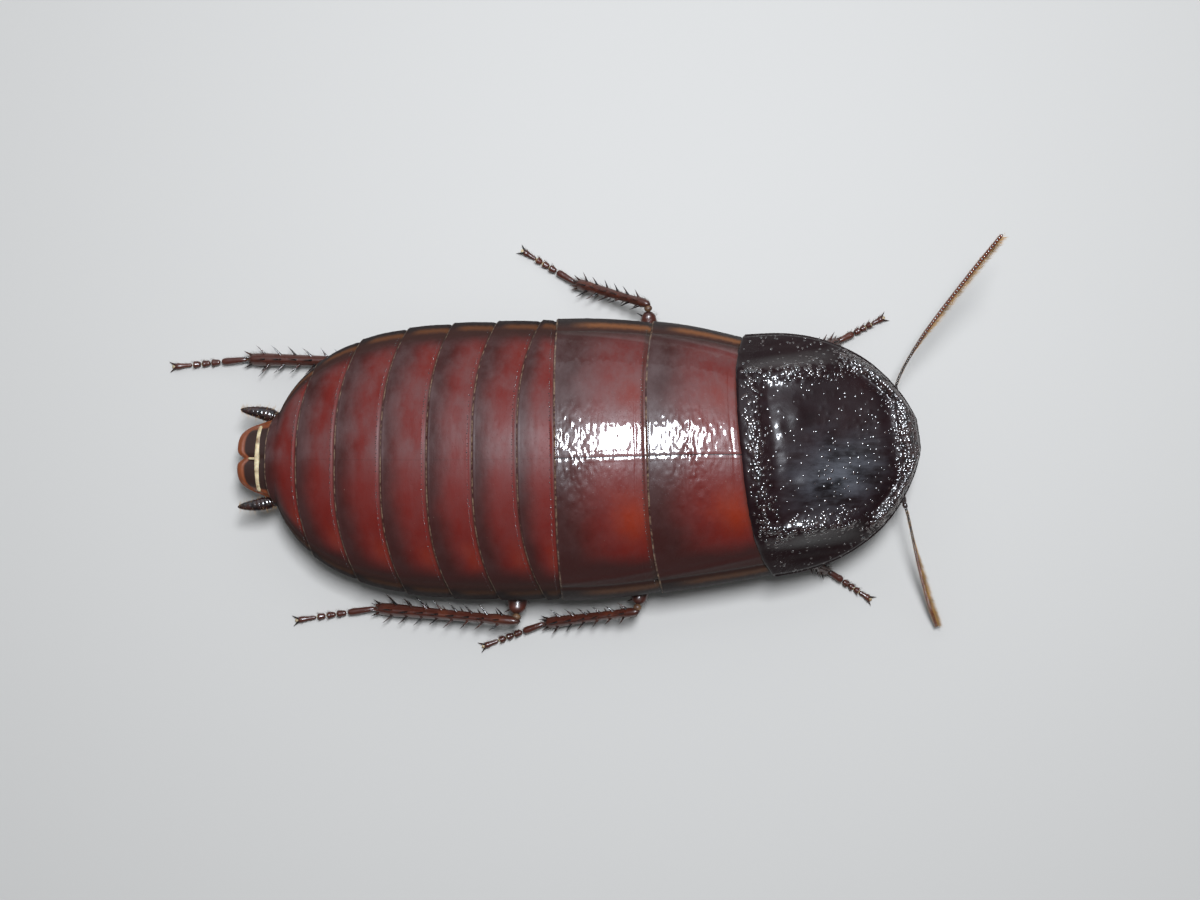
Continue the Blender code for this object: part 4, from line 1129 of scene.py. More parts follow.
def build_belly():
    """Six belly plates that lap over each other, the last one rounded, each standing off the plain belly most
    at its hind edge. Along the flanks lie soft folds, swollen by a sine, and the rims of breathing holes."""
    brown = finish_once(belly_plates)
    for number, (front, hind) in enumerate(zip(STERNITES, STERNITES[1:]), start=2):
        across = spread(110)[None, :]
        last = hind == STERNITES[-1]
        share = np.linspace(0, 1, 44)[:, None] ** 1.15
        sweep = 1.1 * np.abs(across) ** 3
        hind_x = hind + (4.2 * np.abs(across) ** 2.6 if last else sweep)
        front_x = front + (sweep if number > 2 else 0) + 1.2
        x = hind_x + (front_x - hind_x) * share
        lift = 0.3 * (1 - share) + 0.07 * np.sin(math.pi * share) + 0.04 * bell((x - hind_x) - 0.25, 0.15)
        lift = lift - 0.12 * step(share, 0.75, 0.95)
        y = half_width(x) * across
        lift = lift + noise(x * 2.2, y * 0.5, 50 + number) * 0.015
        lift = lift - pits(x * 1.4, y * 1.4, 60 + number, 0.2, 0.4) * 0.025
        spots = joined(share * 1.2, across / 2 + 0.5)
        under = belly(x, across, lift - BELLY_PLATE_THICKNESS)
        skin = Skin()
        skin.plate(bent(belly(x, across, lift)), bent(under), spots)
        skin.build(f"sternite_{number}_shell", brown, "belly", [f"sternite_{number}"])
    folds, vents = Skin(), Skin()

    def crease(share, turn):
        """The flank's folds: a sine along it."""
        return 0.14 * np.sin(share * 150)

    for side in SIDES.values():
        path_x = np.linspace(4.6, 55.0, 24)
        path = np.column_stack([path_x, side * (half_width(path_x) - 0.75), margin_height(path_x) - 0.1])
        table = stations(path, [0.5] * 24, [0.55] * 24)
        folds.tube(bent(rings(table, 260, 14, SIDEWAYS, near=0.02, far=0.02, relief=crease)))
        turn = np.linspace(0, 2 * math.pi, 24, endpoint=False)
        tube = np.linspace(0, 2 * math.pi, 10, endpoint=False)
        # The rim of a breathing hole: an ellipse of hoops, upright along the flank.
        ring = joined(np.cos(turn) * 0.34, 0, np.sin(turn) * 0.2)
        out = joined(np.cos(turn), 0, np.sin(turn))
        hoops = out[:, None] * np.cos(tube)[:, None] + side * SIDEWAYS * np.sin(tube)[:, None]
        rim = ring[:, None] + 0.075 * hoops
        for hole_x in BREATHING_HOLES:
            centre = np.array([hole_x, side * (half_width(hole_x) - 0.2), margin_height(hole_x) - 0.12])
            vents.wheel(bent(rim + centre))
    folds.build("side_folds", finish_once(joint_skin), "membrane")
    vents.build("breathing_holes", finish_once(jaw_black), "belly")


def build_chest():
    """The underside of the three thorax segments: plates with seams, ridges and a keel, over the legs'
    roots, each as deep as 1 - |across|^3.2 to the power 0.8. Soft skin fills the space between them."""
    finish = finish_once(chest_plates)
    blocks = (
        ("prothorax", 56.2, 65.4, lambda x: 9.4 - 0.06 * (x - 56.4) ** 2, 8.2),
        ("mesothorax", 44.9, 55.4, lambda x: half_width(x) - 1.0, 5.45),
        ("metathorax", 34.6, 45.0, lambda x: half_width(x) - 1.0, 5.35),
    )
    for number, (name, hind, front, half, floor) in enumerate(blocks):
        across = spread(96)[None, :]
        share = np.linspace(0, 1, 60)[:, None]
        x = hind + (front - hind) * share + 0 * across
        y = half(x) * across
        top = shield_height(x, y) - 1.75 if name == "prothorax" else margin_height(x) + 0.2 + 0 * y
        depth = (top - floor) * (0.12 + 0.88 * np.clip(1 - np.abs(across) ** 3.2, 0, 1) ** 0.8)
        side = np.abs(across)
        relief = 0.35 * bell(side, 0.09) * bell(share - 0.55, 0.4)
        seams = 0.3 * bell(side - 0.42 - 0.2 * (share - 0.5), 0.03)
        seams += 0.25 * bell(share - 0.5 + 0.15 * side, 0.03)
        relief -= seams
        relief += 0.1 * noise(x * 0.9, y * 0.9, 70 + number) + 0.04 * noise(x * 2.4, y * 2.4, 75 + number)
        under = top - depth - relief * np.clip(depth, 0, 1)
        spots = joined(share, across / 2 + 0.5)
        skin = Skin()
        skin.plate(bent(joined(x, y, top)), bent(joined(x, y, under)), spots, bulge=0.2)
        skin.build(f"{name}_underside", finish, "belly", [name])
    x = [33.5, 38.0, 44.0, 50.0, 55.5, 61.0, 66.0]
    middle = [7.6, 7.5, 7.5, 7.7, 8.6, 10.2, 10.6]
    across = [13.3, 14.0, 14.0, 13.2, 11.4, 8.4, 4.5]
    deep = [1.9, 1.95, 1.95, 1.9, 1.7, 1.6, 1.2]
    skin = Skin()
    table = stations(np.column_stack([x, np.zeros(7), middle]), across, deep)
    skin.tube(bent(rings(table, 120, 90, SIDEWAYS, near=0.04, far=0.08)))
    skin.build("chest_skin", finish_once(joint_skin), "membrane")


# The head.


def on_face(down, side, out):
    """A point given as the share of the way down the face, millimetres to the left and out of the face."""
    return CROWN + DOWN_FACE * down * FACE_LENGTH + SIDEWAYS * side + OUT_OF_FACE * out


def eye_share(points, side):
    """How far points lie from an eye's middle, as a share of its radii, 1 being its surface."""
    away = tipped(points - EYE_CENTRE * (1, side, 1), EYE_TILT)
    return np.linalg.norm(away / EYE_RADII, axis=-1)


def build_head():
    """The head capsule: rings from crown to mouth, with seams, eye rims, feeler sockets and a raised clypeus.
    Relief moves each point away from the capsule's middle line. On it lie the eyes, which are ellipsoids with
    a notch, the two pale spots on the brow, and a soft cuff round the root of each feeler."""
    shares = [-0.07, -0.04, 0.0, 0.1, 0.24, 0.4, 0.56, 0.72, 0.87, 1.02]
    across = [0.3, 1.5, 2.35, 3.3, 3.72, 3.75, 3.4, 2.85, 2.4, 1.9]
    deep = [0.2, 0.75, 1.25, 1.9, 2.3, 2.4, 2.25, 1.9, 1.5, 1.05]
    rows, sides = 130, 140
    table = smooth(np.column_stack([shares, across, deep]), spread(rows) / 2 + 0.5)
    turn = turns(sides)
    sine, cosine = np.sin(turn), np.cos(turn)
    down = table[:, 0][:, None]
    wide = table[:, 1][:, None] * np.sign(cosine) * np.abs(cosine) ** 0.85
    out = table[:, 2][:, None] * np.sign(sine) * np.abs(sine) ** 0.9 * np.where(sine > 0, 0.98, 1.0)
    end = np.sqrt(np.clip((1.02 - down) / 0.06, 0.01, 1))
    points = on_face(down[..., None], (wide * end)[..., None], (out * end)[..., None])
    outwards = unit(points - on_face(down[..., None], 0 * wide[..., None], 0))
    y = points[..., 1]
    front = step(out, 0.1, 0.9)
    along = down * FACE_LENGTH
    relief = -0.07 * bell(y, 0.07) * step(down, 0.2, 0.12)
    arm = np.abs(np.abs(y) - (along - 1.4) * 0.75)
    relief -= 0.06 * bell(arm, 0.08) * step(along, 1.3, 1.6) * step(along, 3.4, 2.9) * front
    relief -= 0.1 * bell(along - 5.75 + 0.1 * y**2, 0.1) * front * step(np.abs(y), 2.6, 2.2)
    relief += 0.16 * step(along - 5.75 + 0.1 * y**2, 0.0, 0.5) * front * step(np.abs(y), 2.3, 1.6)
    relief -= 0.08 * bell(along - 7.2, 0.09) * front
    relief += 0.1 * bell(np.hypot(along - 4.2, (np.abs(y) - 2.5) * 1.2), 0.7) * front
    relief += 0.03 * noise(along * 1.8, y * 1.8, 90) + 0.02 * noise(along * 4, y * 4, 91)
    relief -= 0.03 * pits(along * 2.4, y * 2.4 + 40, 92, 0.25, 0.6)
    for side in SIDES.values():
        eye = eye_share(points, side)
        relief += 0.13 * bell(eye - 1.14, 0.09) - 0.3 * step(eye, 1.08, 0.95)
        near = np.linalg.norm(points - SOCKET * (1, side, 1), axis=-1)
        relief += 0.2 * bell(near - 0.85, 0.14) - 0.35 * step(near, 0.75, 0.5)
    points = points + outwards * relief[..., None]
    skin = Skin()
    skin.tube(bent(points))
    skin.build("head_capsule", finish_once(face_shell), "head", ["head"])
    eyes = finish_once(eye_facets)
    spots = Skin()
    for name, side in SIDES.items():
        rise = np.linspace(0.02, math.pi - 0.02, 60)[:, None]
        turn = turns(72)
        ball = joined(np.sin(rise) * np.cos(turn), side * np.sin(rise) * np.sin(turn), np.cos(rise))
        # The notch beside the feeler's socket gives the eye its kidney shape.
        notch = bell(ball[..., 0] - 1, 0.5) * bell(ball[..., 2] + 0.25, 0.32)
        ball = tipped(ball * (1 - 0.2 * notch)[..., None] * EYE_RADII, -EYE_TILT)
        skin = Skin()
        skin.tube(bent(ball + EYE_CENTRE * (1, side, 1)))
        skin.build(f"eye_{name}_facets", eyes, "eye", [f"eye_{name}"])
        lens = on_face(0.08, side * 1.2, 1.55)
        pole = unit(OUT_OF_FACE - DOWN_FACE * 0.6 + SIDEWAYS * side * 0.3)
        where = np.array([[side / 4 + 0.5, 0.5]])
        spots.spikes(lens[None], pole[None], 0.16, 0.36, where, bead, rows=14, sides=28)
    spots.build("pale_spots", finish_once(cream_lens), "head")
    cuffs = Skin()
    for name, side in SIDES.items():
        socket, joint = bent(SOCKET * (1, side, 1)), np.array(ANTENNAE[name][0])
        path = socket + np.outer([-0.08, 0.04, 0.16], unit(joint - socket))
        girth = [0.62, 0.62, 0.45]
        cuffs.tube(rings(np.column_stack([path, girth, girth]), 16, 32, UP, near=0.4, far=0.4))
    cuffs.build("feeler_cuffs", finish_once(soft_skin), "membrane")


def segments(skin, joints, girths, sides, rows):
    """A jointed feeler beside the mouth: one round, swollen segment between each two joints, a little apart.
    girths has its half widths at start, middle and end. Gives the segments' rings."""
    made = []
    for (start, end), (first, middle, last) in zip(zip(joints, joints[1:]), girths):
        start, end = np.array(start, float), np.array(end, float)
        inset = (end - start) * 0.06 * 0.2
        path = np.linspace(start + inset, end - inset, 5)
        wide = np.array([first, (first + middle) / 2, middle, (middle + last) / 2, last])
        grid = rings(np.column_stack([path, wide, wide]), rows, sides, UP, near=0.12, far=0.1)
        skin.tube(bent(grid))
        made.append(grid)
    return made


def build_mouth():
    """Upper lip, jaws with teeth, lower lip, and the long and short feelers beside the mouth, with their
    bristles. All are rings along smooth paths."""
    brown, black = finish_once(mouth_brown), finish_once(jaw_black)
    hairs = Skin()

    def lip_notch(share, turn):
        """Fuller faces, and a notch in the middle of the free end."""
        return 0.05 * np.sin(turn) ** 2 - 0.25 * bell(share - 1, 0.16) * bell(np.cos(turn), 0.25)

    lip = np.array([on_face(d, 0, 0.75 - 0.5 * k) for k, d in enumerate((0.95, 1.05, 1.13, 1.2))])
    skin = Skin()
    table = stations(lip, [1.5, 1.75, 1.6, 0.9], [0.42, 0.5, 0.42, 0.25])
    grid = rings(table, 60, 56, SIDEWAYS, near=0.1, far=0.25, relief=lip_notch)
    skin.tube(bent(grid))
    skin.build("labrum_lip", brown, "mouth", ["labrum"])
    rows = (0.5, 0.97)
    sprout(hairs, bent(grid), 70, (0.25, 0.5), 0.012, seed=101, lean=0.9, tiles=MOUTH_TILES, rows=rows)
    jaws = Skin()
    for side in SIDES.values():
        bends = ((0.84, 2.15, -0.1), (0.97, 2.1, 0.0), (1.08, 1.5, 0.0), (1.15, 0.45, -0.1))
        path = [on_face(down, side * aside, out) for down, aside, out in bends]
        table = stations(path, [0.6, 0.75, 0.7, 0.3], [0.8, 0.95, 0.75, 0.3])
        jaws.tube(bent(rings(table, 40, 28, OUT_OF_FACE, near=0.1, far=0.2)))
        teeth = np.array([on_face(1.15 - 0.035 * k, side * (0.55 + 0.32 * k), -0.15) for k in range(4)])
        ways = unit(np.tile(DOWN_FACE + SIDEWAYS * -side * 0.6, (4, 1)))
        jaws.spikes(bent(teeth), ways, 0.4, 0.2, row_of_places(4, side > 0, 2), horn, rows=8, sides=10)
    jaws.build("jaws", black, "head")
    chin = Skin()
    base = MOUTH + (-2.9, 0, 1.1)
    path = [base + DOWN_FACE * d for d in (-0.6, 0.6, 1.8, 3.0)]
    table = stations(path, [1.2, 1.6, 1.45, 0.8], [0.5, 0.7, 0.6, 0.35])
    grid = rings(table, 60, 44, SIDEWAYS, near=0.12, far=0.12, relief=lip_notch)
    chin.tube(bent(grid))
    growth = {"lean": 0.5, "tiles": MOUTH_TILES}
    sprout(hairs, bent(grid), 90, (0.3, 0.6), 0.012, seed=102, tile=(1, 0), rows=(0.3, 0.97), **growth)
    for side in SIDES.values():
        lobe = [(-1.9, side * 1.9, 1.6), (-1.6, side * 1.9, 0.2), (-1.1, side * 1.0, -1.2)]
        table = stations(MOUTH + lobe, [0.5, 0.62, 0.55, 0.3], [0.45, 0.5, 0.45, 0.25])
        chin.tube(bent(rings(table, 40, 24, SIDEWAYS, near=0.1, far=0.2)))
        short = [(-2.6, 0.9, 0.5), (-2.7, 1.7, -0.4), (-1.9, 2.1, -1.3), (-0.8, 1.8, -2.1)]
        joints = [MOUTH + np.array(p) * (1, side, 1) for p in short]
        girths = [(0.18, 0.22, 0.2), (0.18, 0.24, 0.24), (0.2, 0.3, 0.2)]
        for k, part in enumerate(segments(chin, joints, girths, sides=18, rows=22)):
            tile = (k, 1 if side > 0 else 2) if k < 2 else (2 if side > 0 else 3, 0)
            seed, rows = 110 + k, (0.1, 0.95)
            sprout(hairs, bent(part), 50, (0.2, 0.4), 0.01, seed=seed, tile=tile, rows=rows, **growth)
    chin.build("labium_and_lobes", brown, "mouth", ["labium"])
    for number, (name, side) in enumerate(SIDES.items()):
        steps = [(0, 0, 0), (-0.2, 1.1, -0.7), (1.2, 1.9, -1.9), (3.4, 1.7, -2.6), (5.0, 1.2, -3.1)]
        joints = [MOUTH + (np.array((-1.9, 3.0, 1.4)) + p) * (1, side, 1) for p in steps]
        palp = Skin()
        girths = [(0.22, 0.26, 0.24), (0.22, 0.27, 0.3), (0.24, 0.29, 0.36), (0.26, 0.42, 0.3)]
        made = segments(palp, joints, girths, sides=24, rows=34)
        palp.build(f"palp_{name}_joints", brown, "mouth", [f"palp_{name}"])
        for k, part in enumerate(made):
            seed, tile, rows = 120 + 10 * number + k, (k, 3 + number), (0.08, 0.96)
            sprout(hairs, bent(part), 90, (0.25, 0.5), 0.011, seed=seed, tile=tile, rows=rows, **growth)
    hairs.build("mouth_bristles", gold_bristle(), "mouth", map_name="OFBake")


def build_neck():
    """The soft neck, from the thorax into the back of the head, with sine folds across it."""

    def folded(share, turn):
        """Wavy sine folds across the neck, and finer ones aslant."""
        return 0.035 * np.sin(share * 36 + 0.6 * np.sin(turn * 3)) + 0.008 * np.sin(turn * 9 + share * 12)

    path = [(64.4, 0, 10.2), (65.6, 0, 10.1), (66.8, 0, 9.8), (68.4, 0, 9.2)]
    skin = Skin()
    table = stations(path, [3.0, 2.7, 2.3, 2.2], [1.5, 1.35, 1.15, 1.1])
    skin.tube(bent(rings(table, 110, 72, SIDEWAYS, near=0.05, far=0.05, relief=folded)))
    skin.build("neck_skin", finish_once(soft_skin), "membrane", ["neck"])


def build_antennae():
    """Each feeler: a long root joint, a short second one, then beads to the tip with a fringe of bristles.
    A bead's half width follows the fourth root of a circle's along its length."""
    for number, (name, side) in enumerate(SIDES.items()):
        points = ANTENNAE[name]
        socket = bent(SOCKET * (1, side, 1))
        joint = np.array(points[0])
        root = Skin()
        start = socket - (joint - socket) * 0.1
        path = np.vstack([start, (socket + joint) / 2, smooth(points, [0, 0.07, KNUCKLE])])
        girth = [0.34, 0.5, 0.5, 0.46, 0.42, 0.3]
        root.tube(rings(stations(path, girth, girth), 70, 32, UP, near=0.06, far=0.05))
        second = smooth(points, np.linspace(KNUCKLE - 0.008, FIRST_BEAD + 0.004, 4))
        girth = [0.18, 0.29, 0.28, 0.2]
        root.tube(rings(stations(second, girth, girth), 24, 24, UP, near=0.2, far=0.2))
        gloss = finish_once(granule_gloss)
        root.build(f"antenna_{name}_joints", gloss, "antenna", [f"antenna_{name}_root"])
        share = np.linspace(0, 1, ANTENNA_RINGS * 6 + 1)
        path = smooth(points, FIRST_BEAD + (1 - FIRST_BEAD) * share)
        girth = np.interp(share, (0, 0.2, 0.45, 0.85, 1), (0.15, 0.15, 0.21, 0.24, 0.2))
        in_ring = (share * ANTENNA_RINGS) % 1
        girth = girth * (0.72 + 0.32 * np.sqrt(np.clip(1 - (2 * in_ring - 1) ** 4, 0, 1)))
        girth[-6:] *= (0.97, 0.92, 0.84, 0.7, 0.5, 0.15)
        ahead = unit(np.gradient(path, axis=0))
        out = unit(UP - ahead * (ahead @ UP)[:, None])
        other = np.cross(ahead, out)
        turn = turns(16)
        circle = out[:, None] * np.cos(turn)[:, None] + other[:, None] * np.sin(turn)[:, None]
        beads = Skin()
        grid = path[:, None] + circle * girth[:, None, None]
        beads.tube(grid)
        nodes = [f"antenna_{name}_base", f"antenna_{name}_tip"]
        beads.build(f"antenna_{name}_beads", finish_once(ringed), "antenna", nodes)
        hairs = Skin()
        sprout(hairs, grid, 1200, (0.12, 0.24), 0.009, seed=140 + number, lean=0.9, rows=(0.02, 0.99))
        rows = (0.2, 0.99)
        sprout(hairs, grid, 6000, (0.35, 0.75), 0.012, seed=150 + number, lean=0.4, rows=rows, keep=fringe)
        hairs.build(f"antenna_{name}_bristles", gold_bristle(), "antenna", map_name="OFBake")


def fringe(out, share):
    """The longer bristles keep to the feeler's lower front side, and grow in length over its first half."""
    return (out @ unit(np.array([0.8, -0.5, -0.3])) > 0.3) * step(share, 0.2, 0.55)


# Legs.


def build_leg(name, hairs, soft):
    """One leg: coxa, trochanter, femur and tibia with rows of spines, and a foot of five joints with pads and
    two claws. Its segments are rings along straight lines between the leg's joints, swollen by a table."""
    pair, side_name = name.split("_")
    side = SIDES[side_name]
    root, hip, knee, ankle, toe = np.array(LEGS[name])
    root, hip = bent(root), bent(hip)
    (coxa_wide, coxa_deep), (femur_wide, femur_deep), (tibia_wide, tibia_deep), spine_count = GIRTHS[pair]
    shell, hard = finish_once(leg_shell), finish_once(spine_shell)
    column = list(LEGS).index(name)
    seed = 200 + 20 * column
    nodes = {part: f"{name}_{part}" for part in ("coxa", "femur", "tibia", "tarsus")}

    def coxa_ridge(share, turn):
        """A ridge along both edges with a groove inside it, and fine noise."""
        rim = 0.05 * bell(np.abs(np.cos(turn)) - 1, 0.05) - 0.06 * bell(np.abs(np.cos(turn)) - 0.86, 0.06)
        return rim * step(share, 0.08, 0.3) + 0.012 * noise(share * 14, np.cos(turn) * 5, seed)

    swell = np.array([0.55, 0.9, 1.0, 0.85, 0.62, 0.42])
    path = root + np.outer(np.linspace(-0.03, 0.98, 6), hip - root)
    table = np.column_stack([path, coxa_wide * swell, coxa_deep * (0.4 + 0.6 * swell)])
    grid = rings(table, 80, 56, SIDEWAYS, near=0.1, far=0.05, relief=coxa_ridge)
    skin = Skin()
    skin.tube(grid)
    skin.build(f"{name}_coxa_shell", shell, "leg", [nodes["coxa"]])
    growth = {"seed": seed + 1, "lean": 0.6, "tile": (column, 0), "tiles": LEG_TILES}
    sprout(hairs, grid, 120, (0.3, 0.6), 0.014, rows=(0.2, 0.95), **growth)

    # The trochanter bends from the coxa into the femur.
    onwards = unit(hip - root)
    aside = unit((knee - hip) - onwards * ((knee - hip) @ onwards))
    bend = hip + (onwards + aside) * 1.2
    lie = np.cross(knee - hip, UP)
    skin = Skin()
    wide = np.array([0.34, 0.48, 0.5, 0.4]) * femur_wide
    elbow = [hip + onwards * 0.1, hip + onwards * 0.8, bend - aside * 0.3, bend + (knee - bend) * 0.12]
    skin.tube(rings(stations(elbow, wide, wide * 0.85), 34, 36, lie, near=0.15, far=0.15))
    swell = np.array([0.42, 0.62, 0.9, 1.0, 0.96, 0.84, 0.66, 0.45])
    path = bend + np.outer(np.linspace(0.03, 1.0, 8), knee - bend)
    table = np.column_stack([path, femur_wide * swell, femur_deep * (0.25 + 0.75 * swell)])

    def femur_keel(share, turn):
        """A keel along one side with a groove beside it, and fine noise."""
        keel = 0.07 * bell(np.sin(turn / 2 - 0.3), 0.16) - 0.05 * bell(np.sin(turn / 2 - 0.6), 0.1)
        return keel + 0.015 * noise(share * 20, np.sin(turn) * 4, seed + 2)

    grid = rings(table, 100, 52, lie, near=0.06, far=0.06, relief=femur_keel)
    skin.tube(grid)
    skin.build(f"{name}_femur_shell", shell, "leg", [nodes["femur"]])
    growth = {"seed": seed + 3, "lean": 0.6, "tile": (column, 1), "tiles": LEG_TILES}
    sprout(hairs, grid, 220, (0.25, 0.55), 0.013, rows=(0.1, 0.95), **growth)

    # A row of spines along the femur's lower edge, on the side that the tibia folds to.
    spines = Skin()
    out = unit(lie) * np.sign(unit(lie) @ unit(ankle - knee) or 1)
    below = unit(np.cross(unit(knee - bend), lie))
    below = below * np.sign(-below[2] or 1)
    shares = np.linspace(0.35, 0.96, 6)
    at = smooth(table, shares)
    edge = at[:, :3] + out * (at[:, 3] * 0.86)[:, None] + below * (at[:, 4] * 0.45)[:, None]
    ways = unit(out * 0.8 + below * 0.55 + unit(knee - bend) * 0.5)
    length = np.array([0.35, 0.5, 0.55, 0.6, 0.65, 0.9]) * (0.8 if pair == "front" else 1.0)
    places = row_of_places(6, 0, SPINE_ROWS)
    spines.spikes(edge, np.tile(ways, (6, 1)), length, 0.11, places, horn, rows=9, sides=10)

    # The tibia.
    shin_top = knee + unit(knee - bend) * 0.8
    swell = np.array([0.6, 0.98, 0.88, 0.86, 0.9, 0.94, 1.0, 1.06, 1.16, 0.98])
    path = shin_top + np.outer(np.linspace(-0.03, 1.0, 10), ankle - shin_top)

    def shin_groove(share, turn):
        """Four shallow grooves along the tibia, and fine noise."""
        grooves = 0.05 * np.cos(turn * 4 + 0.5) * step(share, 0.05, 0.2)
        return grooves + 0.012 * noise(share * 30, np.cos(turn) * 4, seed)

    table = np.column_stack([path, tibia_wide * swell, tibia_deep * swell])
    grid = rings(table, 120, 44, UP, near=0.05, far=0.04, relief=shin_groove)
    skin = Skin()
    skin.tube(grid)
    skin.build(f"{name}_tibia_shell", shell, "leg", [nodes["tibia"]])
    growth = {"seed": seed + 4, "lean": 0.7, "tile": (column, 2), "tiles": LEG_TILES}
    sprout(hairs, grid, 420, (0.3, 0.6), 0.013, rows=(0.05, 0.97), **growth)
    ahead = unit(ankle - shin_top)
    level = unit(np.cross(UP, ahead)) * side
    up = unit(np.cross(level, ahead)) * (1 if np.cross(level, ahead)[2] > 0 else -1)
    # The tibia's rows of spines: the way they point, their size, and how far along the first one starts.
    spine_rows = (
        (level * 0.92 + up * 0.4, 1.0, 0.0),
        (-level * 0.9 + up * 0.35, 0.85, 0.5),
        (up, 0.8, 0.25),
        (level * 0.6 - up * 0.45, 0.7, 0.6),
    )
    scatter = np.random.default_rng(seed + 5)
    longest = {"front": 1.0, "middle": 1.35, "hind": 1.6}[pair]
    for row, (way, scale, phase) in enumerate(spine_rows, start=1):
        count = max(3, round(spine_count * (0.7 + 0.3 * scale)))
        shares = 0.1 + 0.84 * (np.arange(count) + 0.5 * phase + 0.2) / count
        at = smooth(table, shares)
        way = unit(way)
        roots = at[:, :3] + way * (at[:, 3] * 0.75)[:, None]
        ways = unit(way + ahead * 0.62 + scatter.normal(0, 0.07, (count, 3)))
        size = longest * scale * (0.75 + 0.35 * shares) * scatter.uniform(0.9, 1.1, count)
        reach = roots[:, 2] + ways[:, 2] * size
        room = np.clip((roots[:, 2] - 0.15) / np.maximum(roots[:, 2] - reach, 0.01), 0.2, 1)
        size = np.where(reach < 0.15, size * room, size)
        girth, bends = 0.15 * np.sqrt(scale), np.tile(ahead * 0.18, (count, 1))
        places = row_of_places(count, row, SPINE_ROWS)
        spines.spikes(roots, ways, size, girth, places, horn, bends, rows=10, sides=10)

    # Seven spurs round the end of the tibia.
    crown = np.linspace(0, 2 * math.pi, 7, endpoint=False)
    ring = level * np.cos(crown)[:, None] + up * np.sin(crown)[:, None]
    roots = path[-1] - ahead * 0.35 + ring * tibia_wide * 0.8
    ways = unit(ring * 0.55 + ahead)
    size = np.where(ring[:, 2] < -0.3, 0.45, 0.95) * (0.8 if pair == "front" else 1.0)
    size = np.minimum(size, np.maximum((roots[:, 2] - 0.1) / np.maximum(-ways[:, 2], 0.05), 0.2))
    spines.spikes(roots, ways, size, 0.13, row_of_places(7, 5, SPINE_ROWS), horn, rows=9, sides=10)

    # The foot's five joints, the first four with a pad, all kept above the floor.
    foot = Skin()
    start = ankle + unit(ankle - knee) * 0.1
    line = toe - start
    for number, (first, last) in enumerate(TARSUS_JOINTS):
        shares = np.linspace(first, last, 6)
        path = start + np.outer(shares, line)
        path[:, 2] = start[2] + line[2] * np.clip(2 * shares - 0.2, 0, 1)
        last_joint = number == len(TARSUS_JOINTS) - 1
        wide = [0.45, 0.55, 0.62, 0.72, 0.9, 0.8] if last_joint else [0.5, 0.72, 0.82, 0.9, 0.98, 0.8]
        wide = np.array(wide) * 0.42
        grid = rings(np.column_stack([path, wide * 0.95, wide]), 34, 28, UP, near=0.08, far=0.08)
        grid[..., 2] = np.maximum(grid[..., 2], 0.0)
        foot.tube(grid)
        growth = {"seed": seed + 6 + number, "lean": 0.8, "tile": (column, 3 + number), "tiles": LEG_TILES}
        sprout(hairs, grid, 70, (0.2, 0.42), 0.011, rows=(0.1, 0.95), **growth)
        if not last_joint:
            pad = path[-2] + (path[-1] - path[-2]) * 0.3
            cushion = np.array([pad[0], pad[1], max(pad[2] - 0.3, 0.14)])
            heading = unit(line * (1, 1, 0))
            path = cushion + np.outer([-0.3, 0, 0.3], heading)
            table = np.column_stack([path, [0.2, 0.28, 0.2], [0.13, 0.16, 0.12]])
            grid = rings(table, 18, 20, np.cross(heading, UP), near=0.3, far=0.3)
            grid[..., 2] = np.maximum(grid[..., 2], 0.0)
            soft.tube(grid, along=(0.2, 0.8))
    foot.build(f"{name}_foot_joints", shell, "leg", [nodes["tarsus"]])

    # Two claws with a pad between them.
    heading = unit(line * (1, 1, 0))
    cross = np.cross(heading, UP)
    apart = np.outer([1, -1], cross)
    roots = toe + UP * 0.12 - heading * 0.12 + apart * 0.14
    ways = unit(heading + apart * 0.62 + UP * 0.22)
    bends = np.tile(-UP * 0.5, (2, 1))
    places = row_of_places(2, 6, SPINE_ROWS)
    spines.spikes(roots, ways, 0.95, 0.13, places, horn, bends, rows=12, sides=12)
    path = toe + np.outer([-0.1, 0.15, 0.36], heading) + UP * 0.02
    pad = np.column_stack([path, [0.16, 0.24, 0.14], [0.12, 0.14, 0.08]])
    grid = rings(pad, 16, 18, cross, near=0.3, far=0.4)
    grid[..., 2] = np.maximum(grid[..., 2], 0.02)
    soft.tube(grid, along=(0.2, 0.8))
    spines.build(f"{name}_spines_and_claws", hard, "leg", map_name="OFBake")

    # Soft skin in the joints.
    joint = Skin()
    below_knee = knee + (shin_top - knee) * 0.4
    for at, wide in ((hip, femur_wide * 0.36), (below_knee, femur_wide * 0.3), (ankle, 0.2)):
        ball = np.column_stack([at + np.outer([-0.4, 0, 0.4], unit(knee - hip)), [wide] * 3, [wide] * 3])
        joint.tube(rings(ball, 20, 20, UP, near=0.5, far=0.5))
    joint.build(f"{name}_joint_skin", finish_once(joint_skin), "membrane")


def build_legs():
    """All six legs, with their bristles and the pale pads under the feet."""
    hairs, soft = Skin(), Skin()
    for name in LEGS:
        build_leg(name, hairs, soft)
    hairs.build("leg_bristles", dark_bristle(), "leg", map_name="OFBake")
    soft.build("foot_pads", finish_once(soft_skin), "leg")


# Settings, operators, panel.


